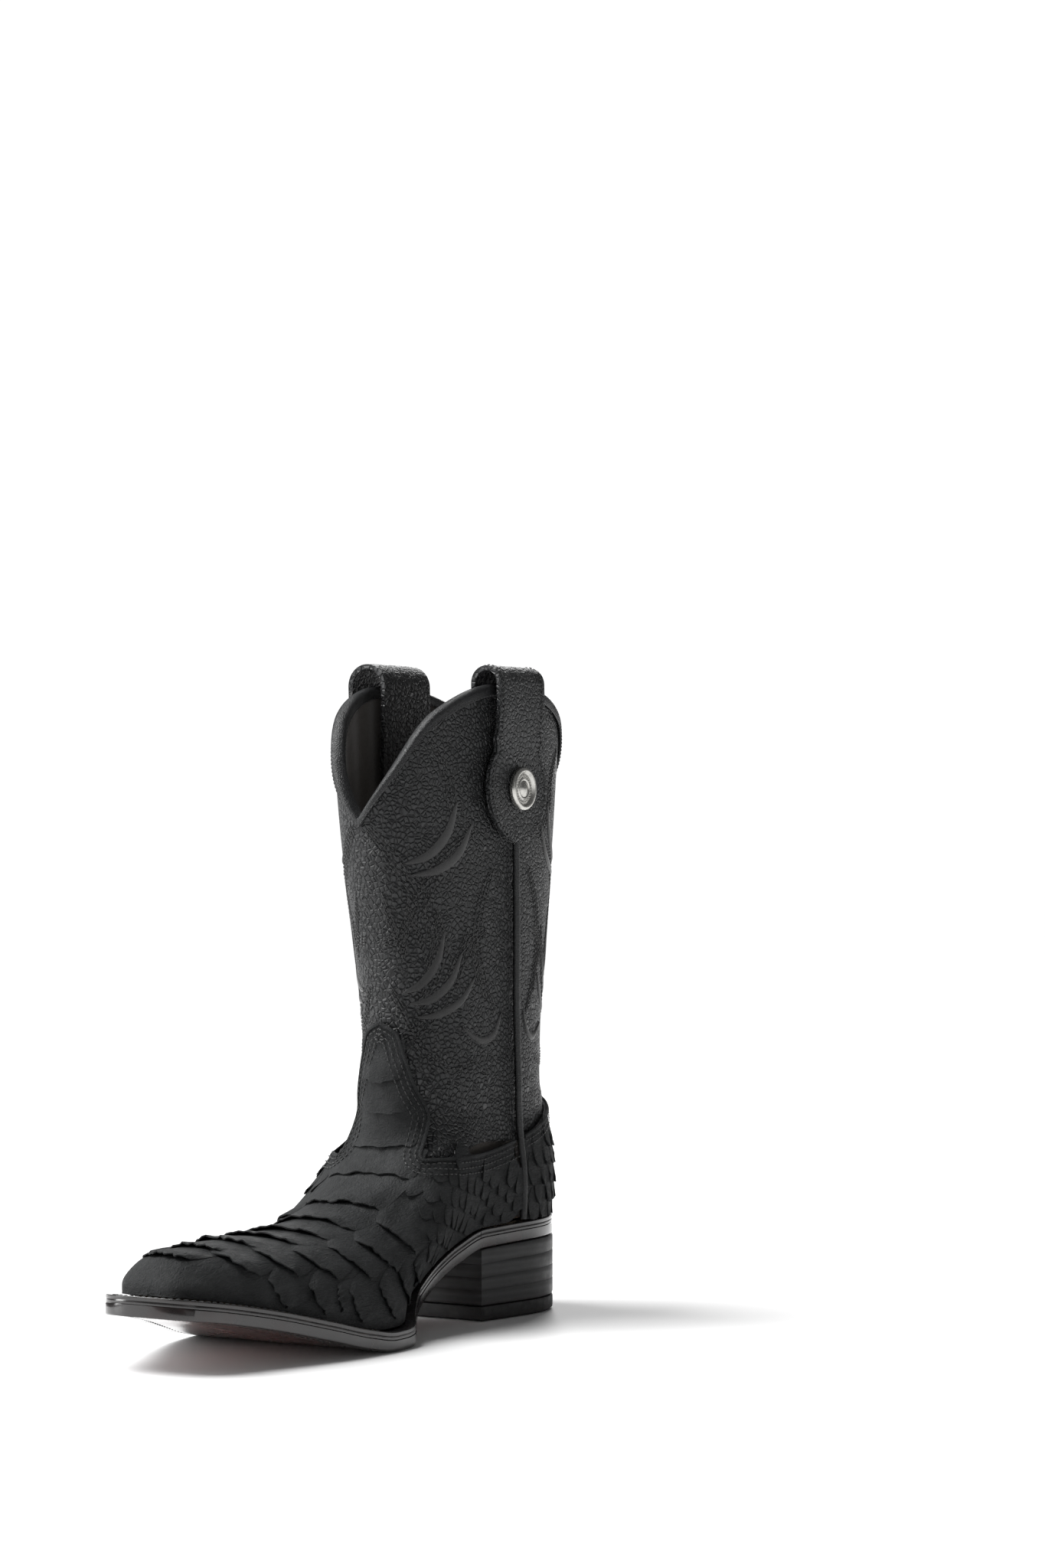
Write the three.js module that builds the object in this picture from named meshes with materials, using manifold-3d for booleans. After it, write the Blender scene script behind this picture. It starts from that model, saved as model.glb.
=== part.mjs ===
// Right-foot western boot. Millimetres, +Z up, toe towards -Y, the wearer's inner (medial) side
// towards +X. The origin is the centre of the heel tread, on the ground.
import * as THREE from 'three';
import Module from 'manifold-3d';

// ---- driving dimensions ----
const SOLE_LENGTH = 292;       // toe tip to heel back, along the outsole
const BALL_WIDTH = 106;        // widest part of the outsole
const WAIST_WIDTH = 63;        // narrowest part of the outsole
const HEEL_WIDTH = 71;         // width of the heel seat and tread
const TREAD_LENGTH = 80;       // heel tread, breast to back
const HEEL_HEIGHT = 33.5;      // floor to outsole at the heel breast
const SEAT_RISE = 2.5;         // extra height of the seat at the very back
const TOE_SPRING = 23.5;       // floor to outsole at the toe tip
const RIM_HEIGHT = 289.5;      // floor to the rim beside the pull straps
const FRONT_DIP = 62;          // depth of the V at the front of the rim
const BACK_DIP = 50;           // depth of the dip at the back of the rim
const ANKLE_HEIGHT = 109;      // height where the foot becomes the shaft
const ANKLE_DEPTH = 116.5;     // front to back at the ankle
const SHAFT_DEPTH = 163;       // front to back at the top
const ANKLE_WIDTH = 66;        // side to side at the ankle
const SHAFT_WIDTH = 73;        // side to side at the top
const INSTEP_SHARE = 1;        // scales the height of the foot over the welt

// ---- material thicknesses and clearances ----
const OUTSOLE = 5;             // leather outsole
const WELT = 3.5;              // welt and heel rand
const WELT_PROUD = 6;          // how far the welt stands out from the vamp
const RAND_PROUD = 1.5;        // the same at heel and waist
const WELT_LAP = 5.5;          // how far the welt runs under the upper
const HIDE = 1.6;              // vamp and counter
const PANEL = 1.4;             // shaft panels and stiffeners
const LINING = 1.2;
const INSOLE = 3;
const SOCK = 1.5;
const CAP = 7;                 // rubber cap of the heel
const STRAP = 2.2;
const STRAP_WIDTH = 38;
const STRAP_END_RADIUS = 25;   // rounded lower end of the outer strap leg
const STRAP_DROP = 72;         // rim to the lower end of the outer leg
const STRAP_INNER_DROP = 45;   // rim to the lower end of the inner leg
const LOOP_RADIUS = 6;         // inside radius of the strap's loop over the rim
const LOOP_LIFT = 1;           // loop axis above the rim
const LOOP_ROOM = 4.2;         // rim down to the sewn legs, room for the loop to tilt
const PIPING = 1.9;            // half width of the side piping
const NAIL_HEAD = 3.4;         // diameter
const NAIL_SHANK = 1.8;        // diameter
const NAIL_LENGTH = 15;
const PEG = 2.2;               // diameter of a waist peg
const CONCHO = 20;             // diameter
const GAP = 0.3;               // between pieces that touch
const LAYER_GAP = 0.5;         // between the layers of the upper
const FIT = 0.6;               // added to the diameter of a nail or peg hole
const SEAM = 2.7;              // side seam to the edge of vamp or counter

const HEEL_BACK = TREAD_LENGTH / 2;
const TOE = HEEL_BACK - SOLE_LENGTH;
const BREAST = -TREAD_LENGTH / 2 + 2;
const SIDE_LOW = -7;           // side seam at the welt
const SIDE_HIGH = -19.5;       // side seam at the rim
const FEATHER = OUTSOLE + WELT + 2 * GAP;

// ---- small helpers ----
const lerp = (a, b, t) => a + (b - a) * t;
const clamp = (x, lo, hi) => Math.min(hi, Math.max(lo, x));
const smooth = (t) => { const s = clamp(t, 0, 1); return s * s * (3 - 2 * s); };
const vec = (x, y, z) => new THREE.Vector3(x, y, z);

// Smooth curve through points [x, y] that never overshoots them.
function curve(points) {
  const slope = points.slice(1).map((p, i) => (p[1] - points[i][1]) / (p[0] - points[i][0]));
  const tangent = points.map((p, i) => {
    if (i === 0) return slope[0];
    if (i === points.length - 1) return slope[i - 1];
    return slope[i - 1] * slope[i] <= 0 ? 0 : 2 / (1 / slope[i - 1] + 1 / slope[i]);
  });
  return (x) => {
    const last = points.length - 1;
    if (x <= points[0][0]) return points[0][1];
    if (x >= points[last][0]) return points[last][1];
    let i = 0;
    while (x > points[i + 1][0]) i += 1;
    const span = points[i + 1][0] - points[i][0];
    const t = (x - points[i][0]) / span;
    const a = points[i][1];
    const b = points[i + 1][1];
    return a * (1 + 2 * t) * (1 - t) ** 2 + b * t * t * (3 - 2 * t)
      + span * (tangent[i] * t * (1 - t) ** 2 - tangent[i + 1] * t * t * (1 - t));
  };
}

// ---- the sole's outline and its height ----
const along = (y) => (y - TOE) / SOLE_LENGTH;      // 0 at the toe, 1 at the back of the heel
const atShare = (share) => TOE + share * SOLE_LENGTH;
const ball = BALL_WIDTH / 2;
const waist = WAIST_WIDTH / 2;
const heel = HEEL_WIDTH / 2;

const medialOutline = curve([[0, ball * 0.44], [0.05, ball * 0.51], [0.12, ball * 0.63], [0.2, ball * 0.78],
  [0.3, ball * 0.93], [0.38, ball * 0.985], [0.44, ball * 0.95], [0.5, ball * 0.75], [0.56, waist],
  [0.63, waist * 0.9], [0.72, waist * 0.95], [0.8, heel * 0.94], [0.87, heel], [1, heel]]);
const lateralOutline = curve([[0, ball * 0.44], [0.05, ball * 0.51], [0.12, ball * 0.65], [0.2, ball * 0.82],
  [0.3, ball * 0.97], [0.38, ball * 1.015], [0.44, ball], [0.5, ball * 0.88], [0.56, waist * 1.27],
  [0.63, waist * 1.12], [0.72, waist * 1.08], [0.8, heel * 0.97], [0.87, heel], [1, heel]]);
const soleBottom = curve([[0, TOE_SPRING], [0.08, TOE_SPRING * 0.84], [0.16, TOE_SPRING * 0.64],
  [0.25, TOE_SPRING * 0.36], [0.33, TOE_SPRING * 0.11], [0.39, 0], [0.42, 0],
  [0.47, HEEL_HEIGHT * 0.06], [0.53, HEEL_HEIGHT * 0.28], [0.61, HEEL_HEIGHT * 0.58],
  [0.68, HEEL_HEIGHT * 0.84], [0.745, HEEL_HEIGHT], [1, HEEL_HEIGHT + SEAT_RISE]]);
const bottomAt = (y) => soleBottom(along(y));
const featherAt = (y) => bottomAt(y) + FEATHER;

const TOE_ROUND = 20;          // length over which the square toe rounds in
const HEEL_ROUND = 38;
const roundEnd = (distance, length, power) => (
  distance >= length ? 1 : (1 - (1 - Math.max(distance, 0) / length) ** power) ** (1 / power));

// Half width of the outline moved inwards by `inset`; side is +1 medial, -1 lateral.
function halfWidth(y, side, inset) {
  const base = (side > 0 ? medialOutline : lateralOutline)(along(y)) - inset;
  const toeEnd = roundEnd(y - (TOE + inset), TOE_ROUND, 3);
  const heelEnd = roundEnd(HEEL_BACK - inset - y, HEEL_ROUND, 2.2);
  return base * toeEnd * heelEnd;
}

// ---- the surface of the upper ----
// surface(u, v): u runs round the leg (0 front, 0.25 medial seam, 0.5 back, 0.75 lateral seam),
// v is the ring number, from 0 at the feather line to RINGS - 1 at the rim.
const insetShare = curve([[0, WELT_PROUD], [0.47, WELT_PROUD], [0.6, RAND_PROUD], [1, RAND_PROUD]]);
const insetAt = (y) => insetShare(along(y));
const bulgeShare = curve([[0, 0], [0.2, 0.5], [0.4, 2], [0.5, 4], [0.62, 8], [0.75, 5], [0.85, 2.5], [1, 2]]);

// Foot rings: ridge place from the toe and height over the feather line, side and back heights.
const FOOT_RINGS = [
  { from: WELT_PROUD, ridge: 0, side: 0, back: 0, backOut: -RAND_PROUD },
  { from: 7.5, ridge: 7, side: 4, back: 4, backOut: 0.5 },
  { from: 14, ridge: 16, side: 8.5, back: 9, backOut: 1.8 },
  { from: 33, ridge: 21, side: 13.5, back: 15, backOut: 2.4 },
  { from: 63, ridge: 29, side: 19, back: 21.5, backOut: 2.6 },
  { from: 93, ridge: 36.5, side: 25, back: 28, backOut: 2.6 },
  { from: 120, ridge: 43, side: 30.5, back: 33, backOut: 2.3 },
  { from: 147, ridge: 45.5, side: 37, back: 39.5, backOut: 1.8 },
  { from: 168, ridge: 46.5, side: 44.5, back: 46.5, backOut: 1.2 },
  { from: 182, ridge: 54, side: 54, back: 55, backOut: 0.7 },
];
// Shaft rings: share of the way from ankle to rim, and shares of the growth of front, back and width.
const SHAFT_RINGS = [
  { rise: 0, front: 0, back: 0, width: 0 },
  { rise: 0.165, front: 0, back: 0.09, width: 0 },
  { rise: 0.355, front: 0.29, back: 0.31, width: 0.3 },
  { rise: 0.55, front: 0.64, back: 0.54, width: 0.57 },
  { rise: 0.77, front: 0.91, back: 0.77, width: 0.77 },
  { rise: 1.02, front: 1, back: 1, width: 1 },
];
const RINGS = FOOT_RINGS.length + SHAFT_RINGS.length;
const ANKLE_BACK = HEEL_BACK + 0.5;
const ANKLE_FRONT = ANKLE_BACK - ANKLE_DEPTH;
const SHAFT_BACK = ANKLE_BACK + (SHAFT_DEPTH - ANKLE_DEPTH) * 0.5;
const SHAFT_FRONT = SHAFT_BACK - SHAFT_DEPTH;
const FOOT_END = 76;           // the last foot ring stands this far in front of the heel's centre
const ridgeLength = -FOOT_END - TOE;
const ridgePlace = (ring) => TOE + ring.from * ridgeLength / FOOT_RINGS[9].from;

const ridgeHeight = curve([...FOOT_RINGS.map((ring) => [ridgePlace(ring), ring.ridge * INSTEP_SHARE]),
  [-FOOT_END + 18, 76 * INSTEP_SHARE], [SIDE_LOW, 90 * INSTEP_SHARE]]);

const sideSeam = (z) => lerp(SIDE_LOW, SIDE_HIGH, (z - featherAt(SIDE_LOW)) / (RIM_HEIGHT - featherAt(SIDE_LOW)));
const oval = (share, power) => (1 - Math.min(1, Math.abs(share)) ** power) ** (1 / power);

// The upper bridges the sole's waist: going up, its outline is averaged over a growing length.
const BRIDGE_HEIGHT = 16;
const BRIDGE_REACH = 0.085;
function bridged(y, side, height) {
  const reach = BRIDGE_REACH * SOLE_LENGTH * smooth(height / BRIDGE_HEIGHT);
  const places = [-1, -0.5, 0, 0.5, 1].map((share) => along(y + share * reach));
  const outline = side > 0 ? medialOutline : lateralOutline;
  return places.reduce((sum, place) => sum + outline(place), 0) / places.length - outline(along(y));
}

// Half width of the foot at y, `height` over the feather line.
function footWidth(y, height, side) {
  const share = clamp(height / Math.max(ridgeHeight(y), GAP), 0, 1);
  const dome = Math.sqrt(1 - share ** 2.4);
  const bulge = bulgeShare(along(y)) * 4 * share * (1 - share);
  const nearHeel = smooth((along(y) - 0.72) / 0.08);
  return (halfWidth(y, side, insetAt(y)) + bridged(y, side, height) * (1 - nearHeel)) * dome + bulge;
}

function ringSide(index) {
  if (index < FOOT_RINGS.length) {
    const z = featherAt(SIDE_LOW) + FOOT_RINGS[index].side * INSTEP_SHARE;
    return { y: sideSeam(z), z };
  }
  const z = lerp(ANKLE_HEIGHT, RIM_HEIGHT, SHAFT_RINGS[index - FOOT_RINGS.length].rise);
  return { y: sideSeam(z), z };
}

function footRingPoint(index, t, front, side) {
  const ring = FOOT_RINGS[index];
  const seam = ringSide(index);
  const endY = front ? ridgePlace(ring) : HEEL_BACK + ring.backOut;
  const endHeight = (front ? ring.ridge : ring.back) * INSTEP_SHARE;
  const y = lerp(endY, seam.y, 1 - Math.cos(t * Math.PI / 2));
  const share = (y - endY) / (seam.y - endY);
  const seamHeight = seam.z - featherAt(seam.y);
  const onRidge = ridgeHeight(y) * lerp(1, seamHeight / ridgeHeight(seam.y), share);
  const nearRidge = front ? smooth((index - 4) / 3) * (1 - smooth(2.2 * share)) : 0;
  const height = lerp(lerp(endHeight, seamHeight, share), onRidge, nearRidge);
  const z = featherAt(y) + height;
  const seamWidth = footWidth(seam.y, seam.z - featherAt(seam.y), side);
  const legWidth = lerp(seamWidth, ANKLE_WIDTH / 2, smooth((index - 4) / 6));
  const mix = smooth((index - 6) / 4);
  const round = legWidth * oval(1 - share, 2.1);
  const foot = footWidth(y, height, side) * legWidth / seamWidth;
  if (front) return vec(side * lerp(foot, round, mix), y, z);
  const outlineY = lerp(HEEL_BACK - RAND_PROUD, seam.y, share);
  const seat = halfWidth(outlineY, side, RAND_PROUD) / halfWidth(seam.y, side, RAND_PROUD);
  return vec(side * legWidth * lerp(seat, oval(1 - share, 2.3), index / 10), y, z);
}

function shaftRingPoint(index, t, front, side) {
  const ring = SHAFT_RINGS[index - FOOT_RINGS.length];
  const seam = ringSide(index);
  const frontY = lerp(ANKLE_FRONT, SHAFT_FRONT, ring.front);
  const backY = lerp(ANKLE_BACK, SHAFT_BACK, ring.back);
  const width = lerp(ANKLE_WIDTH, SHAFT_WIDTH, ring.width) / 2;
  const share = Math.cos(t * Math.PI / 2);
  return vec(side * width * oval(share, 2.15), lerp(seam.y, front ? frontY : backY, share), seam.z);
}

function ringPoint(index, u) {
  const turn = u - Math.floor(u);
  const side = turn <= 0.5 ? 1 : -1;
  const half = side > 0 ? turn : 1 - turn;
  const front = half <= 0.25;
  const t = front ? half * 4 : (0.5 - half) * 4;
  return (index < FOOT_RINGS.length ? footRingPoint : shaftRingPoint)(index, t, front, side);
}

function surface(u, v) {
  const i = clamp(Math.floor(v), 0, RINGS - 2);
  const t = v - i;
  const p1 = ringPoint(i, u);
  const p2 = ringPoint(i + 1, u);
  const p0 = i > 0 ? ringPoint(i - 1, u) : p1.clone().multiplyScalar(2).sub(p2);
  const p3 = i + 2 < RINGS ? ringPoint(i + 2, u) : p2.clone().multiplyScalar(2).sub(p1);
  const point = vec(0, 0, 0);
  point.addScaledVector(p0, 0.5 * (-t + 2 * t * t - t ** 3));
  point.addScaledVector(p1, 0.5 * (2 - 5 * t * t + 3 * t ** 3));
  point.addScaledVector(p2, 0.5 * (t + 4 * t * t - 3 * t ** 3));
  point.addScaledVector(p3, 0.5 * (t ** 3 - t * t));
  return point;
}

const STEP = 1e-3;
const roundTangent = (u, v) => surface(u + STEP, v).sub(surface(u - STEP, v));
const upTangent = (u, v) => surface(u, v + STEP).sub(surface(u, v - STEP));
const normal = (u, v) => roundTangent(u, v).cross(upTangent(u, v)).normalize();
const skin = (u, v, offset) => surface(u, v).addScaledVector(normal(u, v), offset);

// Ring number at which the surface reaches height z.
function ringAt(u, z) {
  let low = 0;
  let high = RINGS - 1;
  for (let i = 0; i < 30; i += 1) {
    const middle = (low + high) / 2;
    if (surface(u, middle).z < z) low = middle;
    else high = middle;
  }
  return (low + high) / 2;
}

// The u that lies `distance` from the seam at seamU, towards `direction`.
function besideSeam(seamU, direction, distance) {
  return (v) => {
    const a = surface(seamU, v);
    const b = surface(seamU + direction * 0.002, v);
    return seamU + direction * 0.002 * distance / a.distanceTo(b);
  };
}

// ---- geometry builders ----
function toGeometry(vertices, triangles) {
  const geometry = new THREE.BufferGeometry();
  const positions = vertices.flatMap((p) => [p.x, p.y, p.z]);
  geometry.setAttribute('position', new THREE.Float32BufferAttribute(positions, 3));
  let volume = 0;
  triangles.forEach(([a, b, c]) => { volume += vertices[a].dot(vertices[b].clone().cross(vertices[c])); });
  geometry.setIndex(volume < 0 ? triangles.flatMap(([a, b, c]) => [a, c, b]) : triangles.flat());
  return geometry;
}

// A solid through a row of closed sections with the same number of points.
function loft(sections, closed = false) {
  const count = sections[0].length;
  const vertices = sections.flat();
  const triangles = [];
  const spans = closed ? sections.length : sections.length - 1;
  for (let i = 0; i < spans; i += 1) {
    const next = (i + 1) % sections.length;
    for (let j = 0; j < count; j += 1) {
      const k = (j + 1) % count;
      const [a, b, c, d] = [i * count + j, next * count + j, next * count + k, i * count + k];
      triangles.push([a, b, c], [a, c, d]);
    }
  }
  if (!closed) {
    const end = (sections.length - 1) * count;
    for (let j = 1; j < count - 1; j += 1) {
      triangles.push([0, j, j + 1], [end, end + j + 1, end + j]);
    }
  }
  return toGeometry(vertices, triangles);
}

// All shells share these ring numbers as rows, so that the layers of the upper stay parallel.
const SEAT = 0.18;             // the upper's lower edges stand this many rings over the feather line
const ROWS = [SEAT, 0.6, 1, 1.5, 2, 3, 4, 5, 6, 7, 7.5, 8, 8.5, 9, 9.5, 10, 10.5, 11, 12.3,
  13.6, 14.3, RINGS - 1];

// The shared rows between two ring numbers, with both ends, one entry for each shared row.
function rowsBetween(bottom, top) {
  const nearest = 0.12;
  return ROWS.map((row) => {
    if (row < bottom + nearest) return bottom;
    return row > top - nearest ? top : row;
  });
}

// A shell that follows the upper's surface. Columns give u, rows run from bottom(u) to top(u).
function shell({ columns, bottom, top, outer, thickness }) {
  const vertices = [];
  const ids = [outer, outer - thickness].map((offset) => columns.map((column) => {
    const place = typeof column === 'function' ? column : () => column;
    const middle = place((bottom(0.25) + top(0.25)) / 2);
    let previous = -1;
    return rowsBetween(bottom(middle), top(middle)).map((v) => {
      if (v !== previous) vertices.push(skin(place(v), v, offset));
      previous = v;
      return vertices.length - 1;
    });
  }));
  const triangles = [];
  const triangle = (a, b, c) => { if (a !== b && b !== c && c !== a) triangles.push([a, b, c]); };
  const quad = (a, b, c, d) => { triangle(a, b, c); triangle(a, c, d); };
  const [out, inn] = ids;
  const rows = ROWS.length - 1;
  const last = columns.length - 1;
  for (let i = 0; i < last; i += 1) {
    for (let j = 0; j < rows; j += 1) {
      quad(out[i][j], out[i + 1][j], out[i + 1][j + 1], out[i][j + 1]);
      quad(inn[i][j], inn[i][j + 1], inn[i + 1][j + 1], inn[i + 1][j]);
    }
    quad(out[i][rows], out[i + 1][rows], inn[i + 1][rows], inn[i][rows]);
    quad(inn[i][0], inn[i + 1][0], out[i + 1][0], out[i][0]);
  }
  for (let j = 0; j < rows; j += 1) {
    if (out[last][j] !== out[last][j + 1]) quad(out[last][j], inn[last][j], inn[last][j + 1], out[last][j + 1]);
    if (out[0][j] !== out[0][j + 1]) quad(inn[0][j], out[0][j], out[0][j + 1], inn[0][j + 1]);
  }
  return toGeometry(vertices, triangles);
}

const wasm = await Module();
wasm.setup();

function toSolid(geometry) {
  const vertProperties = new Float32Array(geometry.getAttribute('position').array);
  const triVerts = new Uint32Array(geometry.getIndex().array);
  return new wasm.Manifold(new wasm.Mesh({ numProp: 3, vertProperties, triVerts }));
}

function fromSolid(solid) {
  const mesh = solid.getMesh();
  const geometry = new THREE.BufferGeometry();
  geometry.setAttribute('position', new THREE.Float32BufferAttribute(mesh.vertProperties, 3));
  geometry.setIndex([...mesh.triVerts]);
  return geometry;
}

// A round rod along Z, as a loft so that its vertices are shared.
function rod(x, y, zLow, zHigh, diameter, sides = 10) {
  const ring = (z) => Array.from({ length: sides }, (_, i) => {
    const angle = (2 * Math.PI * i) / sides;
    return vec(x + Math.cos(angle) * diameter / 2, y + Math.sin(angle) * diameter / 2, z);
  });
  return loft([ring(zLow), ring(zHigh)]);
}

function drill(geometry, rods) {
  return fromSolid(rods.reduce((solid, tool) => solid.subtract(toSolid(tool)), toSolid(geometry)));
}

// ---- finishes ----
const finish = (color, roughness, metalness = 0) => new THREE.MeshStandardMaterial({ color, roughness, metalness });
const scaledHide = finish('#1a1b1b', 0.7);
const shaftLeather = finish('#202222', 0.5);
const liningLeather = finish('#4a443e', 0.85);
const soleLeather = finish('#6b3a34', 0.35);
const edgeBlack = finish('#141212', 0.3);
const stiffFibre = finish('#8a7a62', 0.9);
const corkFinish = finish('#a5805a', 0.95);
const steelFinish = finish('#9a9a9a', 0.4, 1);
const silverFinish = finish('#b9b9b4', 0.3, 1);
const heelFinish = finish('#262626', 0.6);
const woodFinish = finish('#5a3a2a', 0.7);

const boot = new THREE.Group();
function add(name, geometry, material) {
  const mesh = new THREE.Mesh(geometry, material);
  mesh.name = name;
  boot.add(mesh);
}

// ---- sole ----
// Every layer of the sole is cut at the same places along its length, so the layers stay parallel.
const STATION_STEP = 6.5;
const STATIONS = Array.from({ length: Math.floor(SOLE_LENGTH / STATION_STEP) }, (_, i) => (
  TOE + (i + 0.5) * STATION_STEP));
const NEAR_TIP = [0.25, 1, 2.6, 5.2];          // extra cuts where a layer rounds in to its tip

function cuts({ from, to, roundToe = true, roundHeel = true }) {
  const toeCuts = roundToe ? NEAR_TIP.map((d) => from + d) : [from];
  const heelCuts = roundHeel ? NEAR_TIP.map((d) => to - d).reverse() : [to];
  const clear = 1.5;
  const middle = STATIONS.filter((y) => y > toeCuts[toeCuts.length - 1] + clear && y < heelCuts[0] - clear);
  return [...toeCuts, ...middle, ...heelCuts];
}

// A slab `low` to `high` over the outsole's underside; insetOf gives its distance from the outline.
function soleSlab({ insetOf, low, high, edge = 0, ...range }) {
  return loft(cuts(range).map((y) => {
    const medial = halfWidth(y, 1, insetOf(y));
    const lateral = -halfWidth(y, -1, insetOf(y));
    const z = bottomAt(y);
    const cut = Math.min(edge, medial / 3);
    const rim = (x, inward) => [vec(x, y, z + low + edge), vec(x + inward * cut, y, z + low)];
    const section = [vec(medial, y, z + high), vec(lateral, y, z + high)];
    return edge > 0 ? [...section, ...rim(lateral, 1), ...rim(medial, -1).reverse()]
      : [...section, vec(lateral, y, z + low), vec(medial, y, z + low)];
  }));
}

const PEG_INSET = 8;
const pegRow = (side, count) => Array.from({ length: count }, (_, i) => {
  const y = atShare(lerp(0.53, 0.715, i / (count - 1)));
  return { x: side * (halfWidth(y, side, 0) - PEG_INSET), y };
});
const pegRows = { medial: pegRow(1, 7), lateral: pegRow(-1, 6) };

function buildOutsole() {
  const slab = soleSlab({ insetOf: () => 0, from: TOE, to: HEEL_BACK, low: 0, high: OUTSOLE, edge: 1.2 });
  const holes = Object.values(pegRows).flat().map(({ x, y }) => (
    rod(x, y, bottomAt(y) - 3, bottomAt(y) + OUTSOLE + 3, PEG + FIT, 8)));
  add('outsole', drill(slab, holes), soleLeather);
  Object.entries(pegRows).forEach(([side, row]) => row.forEach(({ x, y }, i) => {
    const z = bottomAt(y);
    add(`waist_peg_${side}_${i + 1}`, rod(x, y, z + 0.9, z + OUTSOLE - 0.9, PEG, 8), woodFinish);
  }));
}

// The welt runs round the toe from breast to breast, the rand round the heel.
function buildWelt() {
  const low = OUTSOLE + GAP;
  const welt = soleSlab({ insetOf: () => 0.2, from: TOE + 0.2, to: BREAST - GAP, roundHeel: false,
    low, high: low + WELT });
  const forePart = WELT_PROUD + WELT_LAP;
  const weltHole = soleSlab({ insetOf: () => forePart, from: TOE + forePart, to: BREAST + 5, roundHeel: false,
    low: low - 1, high: low + WELT + 1 });
  add('welt', drill(welt, [weltHole]), edgeBlack);
  const seat = RAND_PROUD + WELT_LAP;
  const rand = soleSlab({ insetOf: () => 0.2, from: BREAST, to: HEEL_BACK - 0.2, roundToe: false,
    low, high: low + WELT });
  const randHole = soleSlab({ insetOf: () => seat, from: BREAST - 5, to: HEEL_BACK - seat, roundToe: false,
    low: low - 1, high: low + WELT + 1 });
  add('heel_rand', drill(rand, [randHole]), edgeBlack);
}

function buildFootbed() {
  const low = OUTSOLE + GAP;
  const inside = WELT_PROUD + WELT_LAP + 0.5;
  add('cork_filler', soleSlab({ insetOf: () => inside, from: TOE + inside, to: atShare(0.5), roundHeel: false,
    low, high: low + WELT }), corkFinish);
  const shank = cuts({ from: atShare(0.515), to: atShare(0.86), roundToe: false, roundHeel: false }).map((y) => {
    const z = bottomAt(y) + low + 0.6;
    return [vec(-7, y, z), vec(7, y, z), vec(7, y, z + 2), vec(-7, y, z + 2)];
  });
  add('shank', loft(shank), steelFinish);
  const layers = HIDE + PANEL + LINING + 2 * LAYER_GAP;
  buildFootbedLayer('insole', layers + 2.2, FEATHER, INSOLE, stiffFibre);
  buildFootbedLayer('sock_liner', layers + 3.6, FEATHER + INSOLE + GAP, SOCK, liningLeather);
}

// A layer that stays `margin` inside the upper's outer surface.
function buildFootbedLayer(name, margin, low, thickness, material) {
  add(name, soleSlab({ insetOf: (y) => insetAt(y) + margin, from: TOE + WELT_PROUD + margin,
    to: HEEL_BACK - RAND_PROUD - margin, low, high: low + thickness }), material);
}

// ---- heel ----
const NAIL_EDGE = 8;           // nail centre to the heel's edge
const nailPlaces = [-0.28, 0, 0.26].flatMap((share) => [1, -1].map((side) => {
  const y = share * TREAD_LENGTH;
  return { x: side * (halfWidth(y, side, 0) - NAIL_EDGE), y };
}));
nailPlaces.push({ x: 0, y: HEEL_BACK - NAIL_EDGE });

function heelSlab(zLow, zHigh) {
  return loft(cuts({ from: BREAST, to: HEEL_BACK, roundToe: false }).map((y) => {
    const medial = halfWidth(y, 1, 0);
    const lateral = -halfWidth(y, -1, 0);
    return [vec(medial, y, zLow(y)), vec(medial, y, zHigh(y)), vec(lateral, y, zHigh(y)), vec(lateral, y, zLow(y))];
  }));
}

function buildHeel() {
  const recess = 0.5;
  const headHeight = 1.4;
  const shanks = nailPlaces.map(({ x, y }) => rod(x, y, -2, NAIL_LENGTH + 2 * recess, NAIL_SHANK + FIT));
  const heads = nailPlaces.map(({ x, y }) => rod(x, y, -2, recess + headHeight + GAP, NAIL_HEAD + FIT));
  add('heel_block', drill(heelSlab(() => CAP + GAP, (y) => bottomAt(y) - GAP), shanks), heelFinish);
  add('heel_cap', drill(heelSlab(() => 0, () => CAP), [...shanks, ...heads]), heelFinish);
  nailPlaces.forEach(({ x, y }, i) => {
    const ring = (z, d) => Array.from({ length: 10 }, (_, k) => {
      const angle = (2 * Math.PI * k) / 10;
      return vec(x + Math.cos(angle) * d / 2, y + Math.sin(angle) * d / 2, z);
    });
    const neck = recess + headHeight;
    const nail = [ring(recess, NAIL_HEAD), ring(neck, NAIL_HEAD), ring(neck, NAIL_SHANK),
      ring(NAIL_LENGTH, NAIL_SHANK)];
    add(`heel_nail_${i + 1}`, loft(nail), steelFinish);
  });
}

// ---- upper ----
// Height of the vamp's and counter's top edge: a tongue in front, low at the quarters.
const topLine = curve([[0, 137], [0.034, 132], [0.049, 122], [0.07, 108], [0.086, 100], [0.095, 94],
  [0.103, 78], [0.116, 76], [0.2, 76.5], [0.25, 82], [0.3, 86], [0.4, 95], [0.5, 102]]);
const fold = (u) => { const turn = u - Math.floor(u); return turn <= 0.5 ? turn : 1 - turn; };
const topLineRing = (u) => ringAt(u, topLine(fold(u)) * ANKLE_HEIGHT / 109);
const rimShape = curve([[0, 1], [0.27, 0.66], [0.55, 0.235], [0.85, 0.03], [1, 0]]);
const rimHeight = (u) => {
  const half = fold(u);
  return half <= 0.25 ? RIM_HEIGHT - FRONT_DIP * rimShape(half * 4)
    : RIM_HEIGHT - BACK_DIP * rimShape((0.5 - half) * 4);
};
const rimRing = (u) => ringAt(u, rimHeight(u));

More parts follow.
